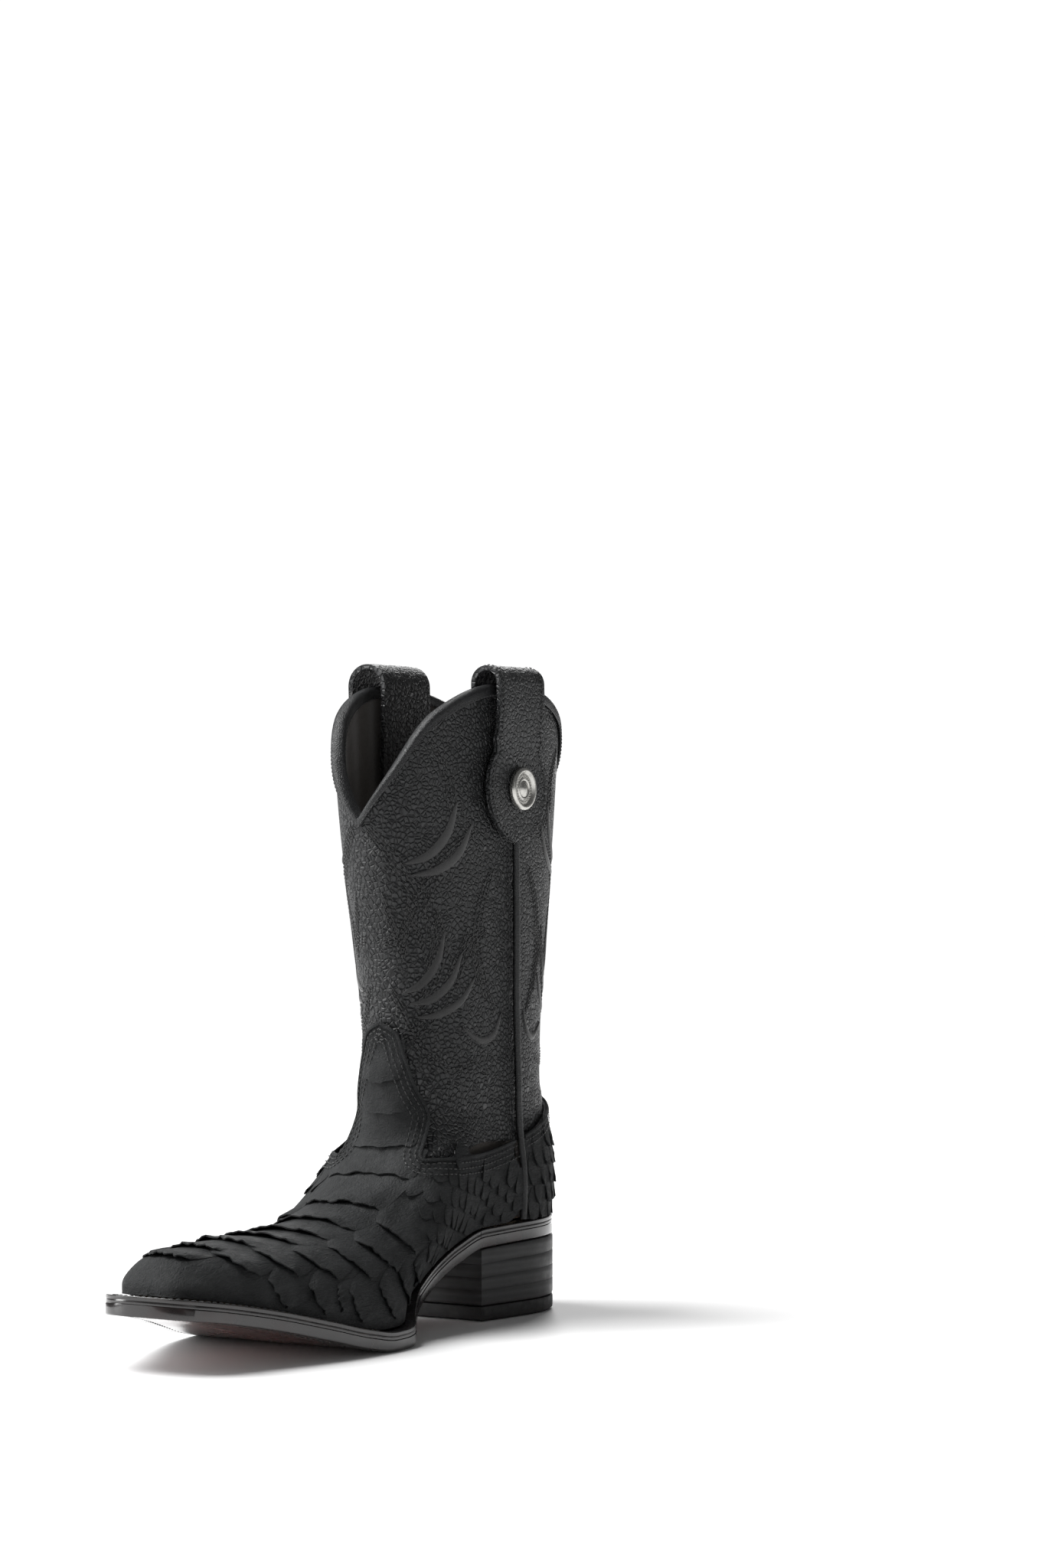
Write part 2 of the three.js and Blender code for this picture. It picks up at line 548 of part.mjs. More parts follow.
const FRONT_COLUMNS = 22;      // columns of faces from the front line to a side seam
const BACK_COLUMNS = 8;
const AT_TONGUE = [0.0945, 0.0985];            // extra columns where the tongue's edge is steep
const frontColumns = (distance, limit = 1) => {
  const half = Array.from({ length: Math.floor(FRONT_COLUMNS * limit) - 1 }, (_, i) => (
    (i + 1) * 0.25 / FRONT_COLUMNS));
  const right = [...half, ...AT_TONGUE].sort((a, b) => a - b);
  const inner = [...right.map((u) => -u).reverse(), 0, ...right];
  if (limit < 1) return inner;
  const ends = distance < SEAM ? [distance, SEAM] : [distance];
  return [...ends.map((d) => besideSeam(-0.25, 1, d)), ...inner,
    ...ends.map((d) => besideSeam(0.25, -1, d)).reverse()];
};
const backColumns = (distance, skip = 0) => {
  const count = 2 * BACK_COLUMNS;
  const inner = Array.from({ length: count - 1 - 2 * skip }, (_, i) => 0.25 + (i + 1 + skip) * 0.5 / count);
  if (skip > 0) return inner;
  const ends = distance < SEAM ? [distance, SEAM] : [distance];
  return [...ends.map((d) => besideSeam(0.25, 1, d)), ...inner,
    ...ends.map((d) => besideSeam(0.75, -1, d)).reverse()];
};

const PANEL_FACE = -(HIDE + LAYER_GAP);                 // outer face of panels and stiffeners
const LINING_FACE = PANEL_FACE - PANEL - LAYER_GAP;
const LINING_BACK = LINING_FACE - LINING;
const LAP_RING = 7;            // the shaft panels run down under vamp and counter to this ring
const EDGE = 0.2;              // half the joint between two panels at the side seam
const LINING_SPLIT = 9;        // ring where the foot lining meets the shaft lining

function buildUpper() {
  const flat = (value) => () => value;
  add('vamp', shell({ columns: frontColumns(SEAM), bottom: flat(SEAT), top: topLineRing,
    outer: 0, thickness: HIDE }), scaledHide);
  add('counter', shell({ columns: backColumns(SEAM), bottom: flat(SEAT), top: topLineRing,
    outer: 0, thickness: HIDE }), scaledHide);
  add('toe_stiffener', shell({ columns: frontColumns(0, 0.47), bottom: flat(2 * SEAT), top: flat(4.4),
    outer: PANEL_FACE, thickness: PANEL }), stiffFibre);
  add('counter_stiffener', shell({ columns: backColumns(0, 2), bottom: flat(2 * SEAT), top: flat(6),
    outer: PANEL_FACE, thickness: PANEL }), stiffFibre);
  add('shaft_front', shell({ columns: frontColumns(EDGE), bottom: flat(LAP_RING), top: rimRing,
    outer: PANEL_FACE, thickness: PANEL }), shaftLeather);
  add('shaft_back', shell({ columns: backColumns(EDGE), bottom: flat(LAP_RING), top: rimRing,
    outer: PANEL_FACE, thickness: PANEL }), shaftLeather);
  add('vamp_lining', shell({ columns: frontColumns(2 * EDGE), bottom: flat(SEAT), top: flat(LINING_SPLIT),
    outer: LINING_FACE, thickness: LINING }), liningLeather);
  add('heel_lining', shell({ columns: backColumns(2 * EDGE), bottom: flat(SEAT), top: flat(LINING_SPLIT),
    outer: LINING_FACE, thickness: LINING }), liningLeather);
  const aboveSplit = flat(LINING_SPLIT + 0.02);
  add('shaft_lining_front', shell({ columns: frontColumns(EDGE), bottom: aboveSplit, top: rimRing,
    outer: LINING_FACE, thickness: LINING }), liningLeather);
  add('shaft_lining_back', shell({ columns: backColumns(EDGE), bottom: aboveSplit, top: rimRing,
    outer: LINING_FACE, thickness: LINING }), liningLeather);
}

const BIND = 1;                // thickness of the rim binding
const BIND_ROOM = 0.7;         // binding to the shaft panel and its lining
const BIND_DEPTH = 3.4;

function buildBinding() {
  const out = PANEL_FACE + BIND_ROOM;
  const inn = LINING_BACK - BIND_ROOM;
  const profile = [[out, -BIND_DEPTH], [out + BIND, -BIND_DEPTH], [out + BIND, BIND_ROOM + BIND],
    [inn - BIND, BIND_ROOM + BIND],
    [inn - BIND, -BIND_DEPTH], [inn, -BIND_DEPTH], [inn, BIND_ROOM],
    [out, BIND_ROOM]];
  const front = Array.from({ length: 2 * FRONT_COLUMNS }, (_, i) => -0.25 + i * 0.25 / FRONT_COLUMNS);
  const back = Array.from({ length: 2 * BACK_COLUMNS }, (_, i) => 0.25 + i * 0.25 / BACK_COLUMNS);
  const sections = [...front, ...back].map((u) => {
    const v = rimRing(u);
    const low = ringAt(u, rimHeight(u) - BIND_DEPTH);
    return profile.map(([offset, lift]) => (
      lift < 0 ? skin(u, low, offset) : skin(u, v, offset).add(vec(0, 0, lift))));
  });
  add('top_binding', loft(sections, true), shaftLeather);
}

// ---- side trims and pull straps, mirrored by side ----
const sides = [{ name: 'medial', side: 1, u: 0.25 }, { name: 'lateral', side: -1, u: 0.75 }];

function buildPiping({ name, u }) {
  const top = ringAt(u, RIM_HEIGHT - STRAP_DROP - 1.5);
  const low = PANEL_FACE + LAYER_GAP + 0.8;
  const profile = [[low, -PIPING], [low, PIPING], [-0.2, PIPING], [1.2, PIPING * 0.5], [1.2, -PIPING * 0.5],
    [-0.2, -PIPING]];
  const sections = [...new Set(rowsBetween(SEAT, top))].map((v) => {
    const round = roundTangent(u, v).normalize();
    return profile.map(([offset, across]) => skin(u, v, offset).addScaledVector(round, across));
  });
  add(`side_piping_${name}`, loft(sections), shaftLeather);
}

const seamX = (z) => Math.abs(surface(0.25, ringAt(0.25, z)).x);
const loopCentre = seamX(RIM_HEIGHT) + (PANEL_FACE + LINING_BACK) / 2;
const FLARE = 36;              // height over which the strap leaves the shaft below the loop

// A flat leather leg: its inner face keeps `stand` from the seam, plus a flare towards `reach` at the top.
function strapLeg({ side, zLow, zHigh, width, stand, reach, outward }) {
  const steps = 14;
  return loft(Array.from({ length: steps + 1 }, (_, i) => {
    const z = lerp(zLow, zHigh, 1 - Math.cos(i / steps * Math.PI / 2));
    const flare = smooth((z - (RIM_HEIGHT - LOOP_ROOM - FLARE)) / FLARE);
    const near = lerp(seamX(z) + stand, reach, flare);
    const far = near + outward * STRAP;
    const half = width(z);
    const y = sideSeam(z);
    return [vec(side * near, y - half, z), vec(side * far, y - half, z), vec(side * far, y + half, z),
      vec(side * near, y + half, z)];
  }));
}

function buildStrap({ name, side }) {
  const zTop = RIM_HEIGHT - LOOP_ROOM;
  const zEnd = RIM_HEIGHT - STRAP_DROP;
  const endCentre = zEnd + STRAP_END_RADIUS;
  const outerWidth = (z) => {
    const round = Math.sqrt(Math.max(STRAP_END_RADIUS ** 2 - (z - endCentre) ** 2, 9));
    return Math.max(round, z > endCentre ? STRAP_WIDTH / 2 : 0);
  };
  add(`strap_outer_${name}`, strapLeg({ side, zLow: zEnd + GAP, zHigh: zTop, width: outerWidth,
    stand: -GAP, reach: loopCentre + LOOP_RADIUS, outward: 1 }), shaftLeather);
  add(`strap_inner_${name}`, strapLeg({ side, zLow: RIM_HEIGHT - STRAP_INNER_DROP, zHigh: zTop,
    width: () => STRAP_WIDTH / 2, stand: LINING_BACK - 2.2, reach: loopCentre - LOOP_RADIUS, outward: -1 }),
  shaftLeather);
  const steps = 14;
  const loop = Array.from({ length: steps + 1 }, (_, i) => {
    const angle = Math.PI * i / steps;
    const at = (radius, y) => vec(side * (loopCentre + Math.cos(angle) * radius), y,
      RIM_HEIGHT + LOOP_LIFT + Math.sin(angle) * radius);
    const half = STRAP_WIDTH / 2;
    return [at(LOOP_RADIUS, SIDE_HIGH - half), at(LOOP_RADIUS + STRAP, SIDE_HIGH - half),
      at(LOOP_RADIUS + STRAP, SIDE_HIGH + half), at(LOOP_RADIUS, SIDE_HIGH + half)];
  });
  add(`pull_loop_${name}`, loft(loop), shaftLeather);
  buildConcho(name, side, endCentre);
}

function buildConcho(name, side, z) {
  const base = seamX(z) - GAP + STRAP + GAP + 0.4;
  const radius = CONCHO / 2;
  const profile = [[0, radius], [2.2, radius], [3, radius - 0.9], [3, radius - 1.8], [2.2, radius - 2.4],
    [2.2, 2.6], [2.8, 1.2]];
  const sections = profile.map(([out, r]) => Array.from({ length: 16 }, (_, i) => {
    const angle = Math.PI * i / 8;
    return vec(side * (base + out), sideSeam(z) + Math.cos(angle) * r, z + Math.sin(angle) * r);
  }));
  add(`concho_${name}`, loft(sections), silverFinish);
}

buildOutsole();
buildWelt();
buildFootbed();
buildHeel();
buildUpper();
buildBinding();
sides.forEach(buildPiping);
sides.forEach(buildStrap);

export default boot;
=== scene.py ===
import math
import random

import bmesh
import bpy
import numpy as np
from mathutils import Matrix, Vector
from mathutils.bvhtree import BVHTree


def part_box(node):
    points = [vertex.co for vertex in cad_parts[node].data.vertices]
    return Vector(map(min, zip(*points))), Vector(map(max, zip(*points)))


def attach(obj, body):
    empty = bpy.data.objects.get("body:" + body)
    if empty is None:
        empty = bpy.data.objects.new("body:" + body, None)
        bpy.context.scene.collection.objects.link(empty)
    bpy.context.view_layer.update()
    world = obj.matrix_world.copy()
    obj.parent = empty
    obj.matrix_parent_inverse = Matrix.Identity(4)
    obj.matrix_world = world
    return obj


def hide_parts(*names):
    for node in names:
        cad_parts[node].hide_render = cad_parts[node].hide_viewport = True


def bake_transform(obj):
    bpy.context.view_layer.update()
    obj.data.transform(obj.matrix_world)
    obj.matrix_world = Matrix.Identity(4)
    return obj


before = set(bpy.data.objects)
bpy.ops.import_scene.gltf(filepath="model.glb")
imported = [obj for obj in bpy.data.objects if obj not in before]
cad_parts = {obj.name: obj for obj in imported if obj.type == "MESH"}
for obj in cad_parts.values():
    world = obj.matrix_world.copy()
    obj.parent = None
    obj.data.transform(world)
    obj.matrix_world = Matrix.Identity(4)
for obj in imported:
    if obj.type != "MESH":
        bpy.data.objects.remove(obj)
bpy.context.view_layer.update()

# Sizes are in millimetres until a piece is finished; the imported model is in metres.
MM = 0.001
rng = random.Random(11)

SOLE_LENGTH, BALL, WAIST, HEEL = 292.0, 53.0, 31.5, 35.5
TREAD_LENGTH, HEEL_HEIGHT, SEAT_RISE, TOE_SPRING = 80.0, 33.5, 2.5, 23.5
RIM_HEIGHT, FRONT_DIP, BACK_DIP = 289.5, 62.0, 50.0
ANKLE_HEIGHT, ANKLE_DEPTH, SHAFT_DEPTH = 109.0, 116.5, 163.0
ANKLE_WIDTH, SHAFT_WIDTH = 66.0, 73.0
OUTSOLE, WELT, WELT_PROUD, RAND_PROUD, WELT_LAP = 5.0, 3.5, 6.0, 1.5, 5.5
HIDE, PANEL, LINING, LAYER_GAP, GAP = 1.6, 1.4, 1.2, 0.5, 0.3
CAP, STRAP, STRAP_WIDTH, STRAP_END_RADIUS, STRAP_DROP, STRAP_INNER_DROP = 7.0, 2.2, 38.0, 25.0, 72.0, 45.0
LOOP_RADIUS, LOOP_LIFT, LOOP_ROOM, FLARE = 6.0, 1.0, 4.2, 36.0
HEEL_BACK, BREAST = TREAD_LENGTH / 2, -TREAD_LENGTH / 2 + 2
TOE = HEEL_BACK - SOLE_LENGTH
TOE_ROUND, HEEL_ROUND = 20.0, 38.0
SIDE_LOW, SIDE_HIGH = -7.0, -19.5
FEATHER = OUTSOLE + WELT + 2 * GAP
# Rings at which the linings and the hide start, and the hide's distance from the side seam.
SEAT, WELT_LINE, SEAM = 0.18, 0.02, 2.7
PANEL_FACE = -(HIDE + LAYER_GAP)
LINING_FACE = PANEL_FACE - PANEL - LAYER_GAP
LINING_BACK = LINING_FACE - LINING


# ---------- curves ----------
def lerp(a, b, t):
    return a + (b - a) * t


def smooth(t):
    s = np.clip(t, 0, 1)
    return s * s * (3 - 2 * s)


def curve(points):
    """A smooth curve through the points that never overshoots them."""
    xs = np.array([p[0] for p in points], float)
    ys = np.array([p[1] for p in points], float)
    slope = np.diff(ys) / np.diff(xs)
    tangent = np.empty(len(xs))
    tangent[0], tangent[-1] = slope[0], slope[-1]
    for i in range(1, len(xs) - 1):
        a, b = slope[i - 1], slope[i]
        tangent[i] = 0 if a * b <= 0 else 2 / (1 / a + 1 / b)

    def at(x):
        x = np.clip(np.asarray(x, float), xs[0], xs[-1])
        i = np.clip(np.searchsorted(xs, x, side="right") - 1, 0, len(xs) - 2)
        span = xs[i + 1] - xs[i]
        t = (x - xs[i]) / span
        return (ys[i] * (1 + 2 * t) * (1 - t) ** 2 + ys[i + 1] * t * t * (3 - 2 * t)
                + span * (tangent[i] * t * (1 - t) ** 2 - tangent[i + 1] * t * t * (1 - t)))
    return at


def catmull(p0, p1, p2, p3, t):
    """Point between p1 and p2 on the smooth curve through all four."""
    return 0.5 * ((-t + 2 * t * t - t ** 3) * p0 + (2 - 5 * t * t + 3 * t ** 3) * p1
                  + (t + 4 * t * t - 3 * t ** 3) * p2 + (t ** 3 - t * t) * p3)


def fold(u):
    """Share of the turn from the front line, 0 to 0.5, the same on both sides."""
    turn = u - np.floor(u)
    return np.where(turn <= 0.5, turn, 1 - turn)


# ---------- the sole's outline and height ----------
medial_outline = curve([
    (0, BALL * 0.44), (0.05, BALL * 0.51), (0.12, BALL * 0.63), (0.2, BALL * 0.78), (0.3, BALL * 0.93),
    (0.38, BALL * 0.985), (0.44, BALL * 0.95), (0.5, BALL * 0.75), (0.56, WAIST), (0.63, WAIST * 0.9),
    (0.72, WAIST * 0.95), (0.8, HEEL * 0.94), (0.87, HEEL), (1, HEEL)])
lateral_outline = curve([
    (0, BALL * 0.44), (0.05, BALL * 0.51), (0.12, BALL * 0.65), (0.2, BALL * 0.82), (0.3, BALL * 0.97),
    (0.38, BALL * 1.015), (0.44, BALL), (0.5, BALL * 0.88), (0.56, WAIST * 1.27), (0.63, WAIST * 1.12),
    (0.72, WAIST * 1.08), (0.8, HEEL * 0.97), (0.87, HEEL), (1, HEEL)])
sole_bottom = curve([
    (0, TOE_SPRING), (0.08, TOE_SPRING * 0.84), (0.16, TOE_SPRING * 0.64), (0.25, TOE_SPRING * 0.36),
    (0.33, TOE_SPRING * 0.11), (0.39, 0), (0.42, 0), (0.47, HEEL_HEIGHT * 0.06), (0.53, HEEL_HEIGHT * 0.28),
    (0.61, HEEL_HEIGHT * 0.58), (0.68, HEEL_HEIGHT * 0.84), (0.745, HEEL_HEIGHT),
    (1, HEEL_HEIGHT + SEAT_RISE)])


def along(y):
    return (np.asarray(y, float) - TOE) / SOLE_LENGTH


def bottom_at(y):
    return sole_bottom(along(y))


def feather_at(y):
    return bottom_at(y) + FEATHER


def round_end(distance, length, power):
    share = np.clip(np.asarray(distance, float) / length, 0, 1)
    return (1 - (1 - share) ** power) ** (1 / power)


def outline_at(y, side):
    return np.where(np.asarray(side) > 0, medial_outline(along(y)), lateral_outline(along(y)))


def half_width(y, side, inset):
    """Half width of the sole's outline moved inwards; side is +1 medial, -1 lateral."""
    ends = round_end(y - (TOE + inset), TOE_ROUND, 3) * round_end(HEEL_BACK - inset - y, HEEL_ROUND, 2.2)
    return (outline_at(y, side) - inset) * ends


# ---------- the upper's surface ----------
inset_share = curve([(0, WELT_PROUD), (0.47, WELT_PROUD), (0.6, RAND_PROUD), (1, RAND_PROUD)])
bulge_share = curve([(0, 0), (0.2, 0.5), (0.4, 2), (0.5, 4), (0.62, 8), (0.75, 5), (0.85, 2.5), (1, 2)])
# Rings over the foot: place from the toe, height of the ridge, of the side seam and of the back.
FOOT_RINGS = [(6, 0, 0, 0, -1.5), (7.5, 7, 4, 4, 0.5), (14, 16, 8.5, 9, 1.8), (33, 21, 13.5, 15, 2.4),
              (63, 29, 19, 21.5, 2.6), (93, 36.5, 25, 28, 2.6), (120, 43, 30.5, 33, 2.3),
              (147, 45.5, 37, 39.5, 1.8), (168, 46.5, 44.5, 46.5, 1.2), (182, 54, 54, 55, 0.7)]
# Rings up the shaft: share of the rise, and of the growth of front, back and width.
SHAFT_RINGS = [(0, 0, 0, 0), (0.165, 0, 0.09, 0), (0.355, 0.29, 0.31, 0.3), (0.55, 0.64, 0.54, 0.57),
               (0.77, 0.91, 0.77, 0.77), (1.02, 1, 1, 1)]
RINGS = len(FOOT_RINGS) + len(SHAFT_RINGS)
ANKLE_BACK = HEEL_BACK + 0.5
ANKLE_FRONT = ANKLE_BACK - ANKLE_DEPTH
SHAFT_BACK = ANKLE_BACK + (SHAFT_DEPTH - ANKLE_DEPTH) / 2
SHAFT_FRONT = SHAFT_BACK - SHAFT_DEPTH
FOOT_END = 76.0
BRIDGE_REACH, BRIDGE_HEIGHT = 0.085, 16.0


def ridge_place(ring):
    return TOE + ring[0] * (-FOOT_END - TOE) / FOOT_RINGS[-1][0]


ridge_height = curve([(ridge_place(r), r[1]) for r in FOOT_RINGS] + [(-FOOT_END + 18, 76), (SIDE_LOW, 90)])


def side_seam(z):
    low = feather_at(SIDE_LOW)
    return lerp(SIDE_LOW, SIDE_HIGH, (z - low) / (RIM_HEIGHT - low))


def oval(share, power):
    return (1 - np.minimum(1, np.abs(share)) ** power) ** (1 / power)


def foot_width(y, height, side):
    share = np.clip(height / np.maximum(ridge_height(y), GAP), 0, 1)
    dome = np.sqrt(1 - share ** 2.4)
    bulge = bulge_share(along(y)) * 4 * share * (1 - share)
    reach = BRIDGE_REACH * SOLE_LENGTH * smooth(height / BRIDGE_HEIGHT)
    mean = sum(outline_at(y + k * reach, side) for k in (-1, -0.5, 0, 0.5, 1)) / 5
    bridged = (mean - outline_at(y, side)) * (1 - smooth((along(y) - 0.72) / 0.08))
    return (half_width(y, side, inset_share(along(y))) + bridged) * dome + bulge


def ring_points(index, u):
    turn = u - np.floor(u)
    side = np.where(turn <= 0.5, 1.0, -1.0)
    half = fold(u)
    front = half <= 0.25
    t = np.where(front, half * 4, (0.5 - half) * 4)
    if index >= len(FOOT_RINGS):
        rise, grow_front, grow_back, grow_width = SHAFT_RINGS[index - len(FOOT_RINGS)]
        z = lerp(ANKLE_HEIGHT, RIM_HEIGHT, rise)
        end = np.where(front, lerp(ANKLE_FRONT, SHAFT_FRONT, grow_front),
                       lerp(ANKLE_BACK, SHAFT_BACK, grow_back))
        width = lerp(ANKLE_WIDTH, SHAFT_WIDTH, grow_width) / 2
        share = np.cos(t * math.pi / 2)
        y = lerp(side_seam(z), end, share)
        return np.stack([side * width * oval(share, 2.15), y, np.full_like(y, z)], -1)
    ring = FOOT_RINGS[index]
    seam_z = feather_at(SIDE_LOW) + ring[2]
    seam_y = side_seam(seam_z)
    end_y = np.where(front, ridge_place(ring), HEEL_BACK + ring[4])
    end_height = np.where(front, ring[1], ring[3])
    y = lerp(end_y, seam_y, 1 - np.cos(t * math.pi / 2))
    share = (y - end_y) / (seam_y - end_y)
    seam_height = seam_z - feather_at(seam_y)
    on_ridge = ridge_height(y) * lerp(1, seam_height / ridge_height(seam_y), share)
    near_ridge = np.where(front, smooth((index - 4) / 3) * (1 - smooth(2.2 * share)), 0)
    height = lerp(lerp(end_height, seam_height, share), on_ridge, near_ridge)
    z = feather_at(y) + height
    seam_width = foot_width(seam_y, seam_height, side)
    leg_width = lerp(seam_width, ANKLE_WIDTH / 2, smooth((index - 4) / 6))
    foot = foot_width(y, height, side) * leg_width / seam_width
    ahead = lerp(foot, leg_width * oval(1 - share, 2.1), smooth((index - 6) / 4))
    outline_y = lerp(HEEL_BACK - RAND_PROUD, seam_y, share)
    seat = half_width(outline_y, side, RAND_PROUD) / half_width(seam_y, side, RAND_PROUD)
    behind = leg_width * lerp(seat, oval(1 - share, 2.3), index / 10)
    return np.stack([side * np.where(front, ahead, behind), y, z], -1)


U_STEPS, V_PER_RING = 800, 24
U_LIST = np.linspace(-0.25, 0.75, U_STEPS + 1)
V_LIST = np.linspace(0, RINGS - 1, (RINGS - 1) * V_PER_RING + 1)


def dense_surface():
    rings = np.array([ring_points(i, U_LIST) for i in range(RINGS)])
    rings = np.concatenate([[2 * rings[0] - rings[1]], rings, [2 * rings[-1] - rings[-2]]])
    rows = []
    for v in V_LIST:
        i = min(int(v), RINGS - 2)
        t = v - i
        rows.append(catmull(*rings[i:i + 4], t))
    points = np.array(rows)
    wrapped = np.concatenate([points[:, -2:-1], points, points[:, 1:2]], 1)
    round_way = wrapped[:, 2:] - wrapped[:, :-2]
    up_way = np.gradient(points, axis=0)
    normals = np.cross(round_way, up_way)
    normals[:4] = normals[4]
    normals /= np.linalg.norm(normals, axis=-1, keepdims=True)
    return points, normals


SURFACE, NORMALS = dense_surface()


def sample(field, u, v):
    a = (np.asarray(u, float) + 0.25) % 1.0 * U_STEPS
    b = np.clip(np.asarray(v, float), 0, RINGS - 1) * V_PER_RING
    i = np.clip(a.astype(int), 0, U_STEPS - 1)
    j = np.clip(b.astype(int), 0, len(V_LIST) - 2)
    s, t = (a - i)[..., None], (b - j)[..., None]
    return ((field[j, i] * (1 - s) + field[j, i + 1] * s) * (1 - t)
            + (field[j + 1, i] * (1 - s) + field[j + 1, i + 1] * s) * t)


def skin(u, v, offset=0.0):
    """Points at ring v and round place u, moved along the normal."""
    offset = np.asarray(offset, float)
    return sample(SURFACE, u, v) + sample(NORMALS, u, v) * offset[..., None]


def ring_at(u, z):
    """Ring number at which the surface reaches height z."""
    u, z = np.broadcast_arrays(np.asarray(u, float), np.asarray(z, float))
    out = np.empty(u.shape)
    for k in np.ndindex(u.shape):
        i = int(round(((u[k] + 0.25) % 1.0) * U_STEPS))
        heights = np.maximum.accumulate(SURFACE[:, i, 2])
        out[k] = np.interp(z[k], heights, V_LIST)
    return out


top_line = curve([(0, 137), (0.034, 132), (0.049, 122), (0.07, 108), (0.086, 100), (0.095, 94), (0.103, 78),
                  (0.116, 76), (0.2, 76.5), (0.25, 82), (0.3, 86), (0.4, 95), (0.5, 102)])
rim_shape = curve([(0, 1), (0.27, 0.66), (0.55, 0.235), (0.85, 0.03), (1, 0)])


def rim_height(u):
    half = fold(u)
    return np.where(half <= 0.25, RIM_HEIGHT - FRONT_DIP * rim_shape(half * 4),
                    RIM_HEIGHT - BACK_DIP * rim_shape((0.5 - half) * 4))


def beside_seam(u, v, distance):
    """Round place that lies a distance in mm from the seam at u."""
    step = np.linalg.norm(sample(SURFACE, u + 0.002, v) - sample(SURFACE, u, v), axis=-1)
    return u + 0.002 * distance / step


# ---------- mesh helpers ----------
def mesh_of(bm, name):
    mesh = bpy.data.meshes.new(name)
    bm.to_mesh(mesh)
    bm.free()
    return mesh


def put_in_scene(name, data):
    made = bpy.data.objects.new(name, data)
    bpy.context.scene.collection.objects.link(made)
    return made


def aim(thing, direction):
    """Turns a lamp or a camera so that it looks along a direction."""
    thing.rotation_euler = Vector(direction).to_track_quat("-Z", "Y").to_euler()


def finish_piece(bm, name, material, body="root", stands_for=(), hard=42, weld=0.002):
    """Scales the mesh to metres, marks its hard edges and hangs it on a body."""
    bmesh.ops.remove_doubles(bm, verts=bm.verts, dist=weld)
    bmesh.ops.dissolve_degenerate(bm, edges=bm.edges, dist=1e-4)
    bmesh.ops.scale(bm, vec=(MM, MM, MM), verts=bm.verts)
    for face in bm.faces:
        face.smooth = True
    for edge in bm.edges:
        edge.smooth = edge.calc_face_angle(0) < math.radians(hard)
    piece = put_in_scene(name, mesh_of(bm, name))
    piece.data.materials.append(material)
    if body:
        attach(piece, body)
    if stands_for:
        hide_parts(*stands_for)
    return piece


def grid(bm, columns, rows, place):
    """A grid of faces whose corners place(a, b) sends to millimetres; a and b run from 0 to 1."""
    made = bmesh.ops.create_grid(bm, x_segments=columns, y_segments=rows, size=1)["verts"]
    co = np.array([v.co for v in made])
    targets = place((co[:, 0] + 1) / 2, (co[:, 1] + 1) / 2)
    for vert, target in zip(made, targets):
        vert.co = target
    return made


def outwards(bm):
    bmesh.ops.remove_doubles(bm, verts=bm.verts, dist=0.002)
    bmesh.ops.recalc_face_normals(bm, faces=bm.faces)


def cap_ends(bm):
    """Turns a swept or stacked shell outwards and closes its open ends."""
    outwards(bm)
    bmesh.ops.holes_fill(bm, edges=[e for e in bm.edges if e.is_boundary], sides=0)


def thicken(bm, thickness):
    """Gives a sheet whose faces point outwards a back, `thickness` further in."""
    bmesh.ops.solidify(bm, geom=bm.faces[:], thickness=thickness)
    outwards(bm)


def facing(bm, sign_of):
    """Turns every face over if the first one points the wrong way."""
    bm.normal_update()
    bm.faces.ensure_lookup_table()
    wrong = sum(1 for f in bm.faces if sign_of(f) < 0)
    if wrong > len(bm.faces) / 2:
        bmesh.ops.reverse_faces(bm, faces=bm.faces)


def build_tree():
    points = SURFACE[::3, ::2]
    rows, columns = points.shape[:2]
    corners = [tuple(p) for p in points.reshape(-1, 3)]
    quads = [(r * columns + c, r * columns + c + 1, (r + 1) * columns + c + 1, (r + 1) * columns + c)
             for r in range(rows - 1) for c in range(columns - 1)]
    return BVHTree.FromPolygons(corners, quads)


leather_tree = build_tree()


def settle(point):
    """The nearest point of the upper's surface and its outward normal."""
    where, normal, _, _ = leather_tree.find_nearest(Vector(point))
    return where, normal


def hit(origin, direction):
    where, normal, _, _ = leather_tree.ray_cast(Vector(origin), Vector(direction).normalized())
    return where


def face_off_upper(bm):
    """Turns a sheet's faces away from the boot's inside."""
    facing(bm, lambda f: f.normal.dot(settle(f.calc_center_median())[1]))


# ---------- materials ----------
def new_material(name, color, roughness, metallic=0.0, specular=0.5, coat=0.0, coat_roughness=0.1, sheen=0.0):
    material = bpy.data.materials.new(name)
    material.use_nodes = True
    sockets = material.node_tree.nodes["Principled BSDF"].inputs
    for socket, value in (("Base Color", (*color, 1)), ("Roughness", roughness), ("Metallic", metallic),
                          ("Specular IOR Level", specular), ("Coat Weight", coat),
                          ("Coat Roughness", coat_roughness), ("Sheen Weight", sheen)):
        sockets[socket].default_value = value
    return material


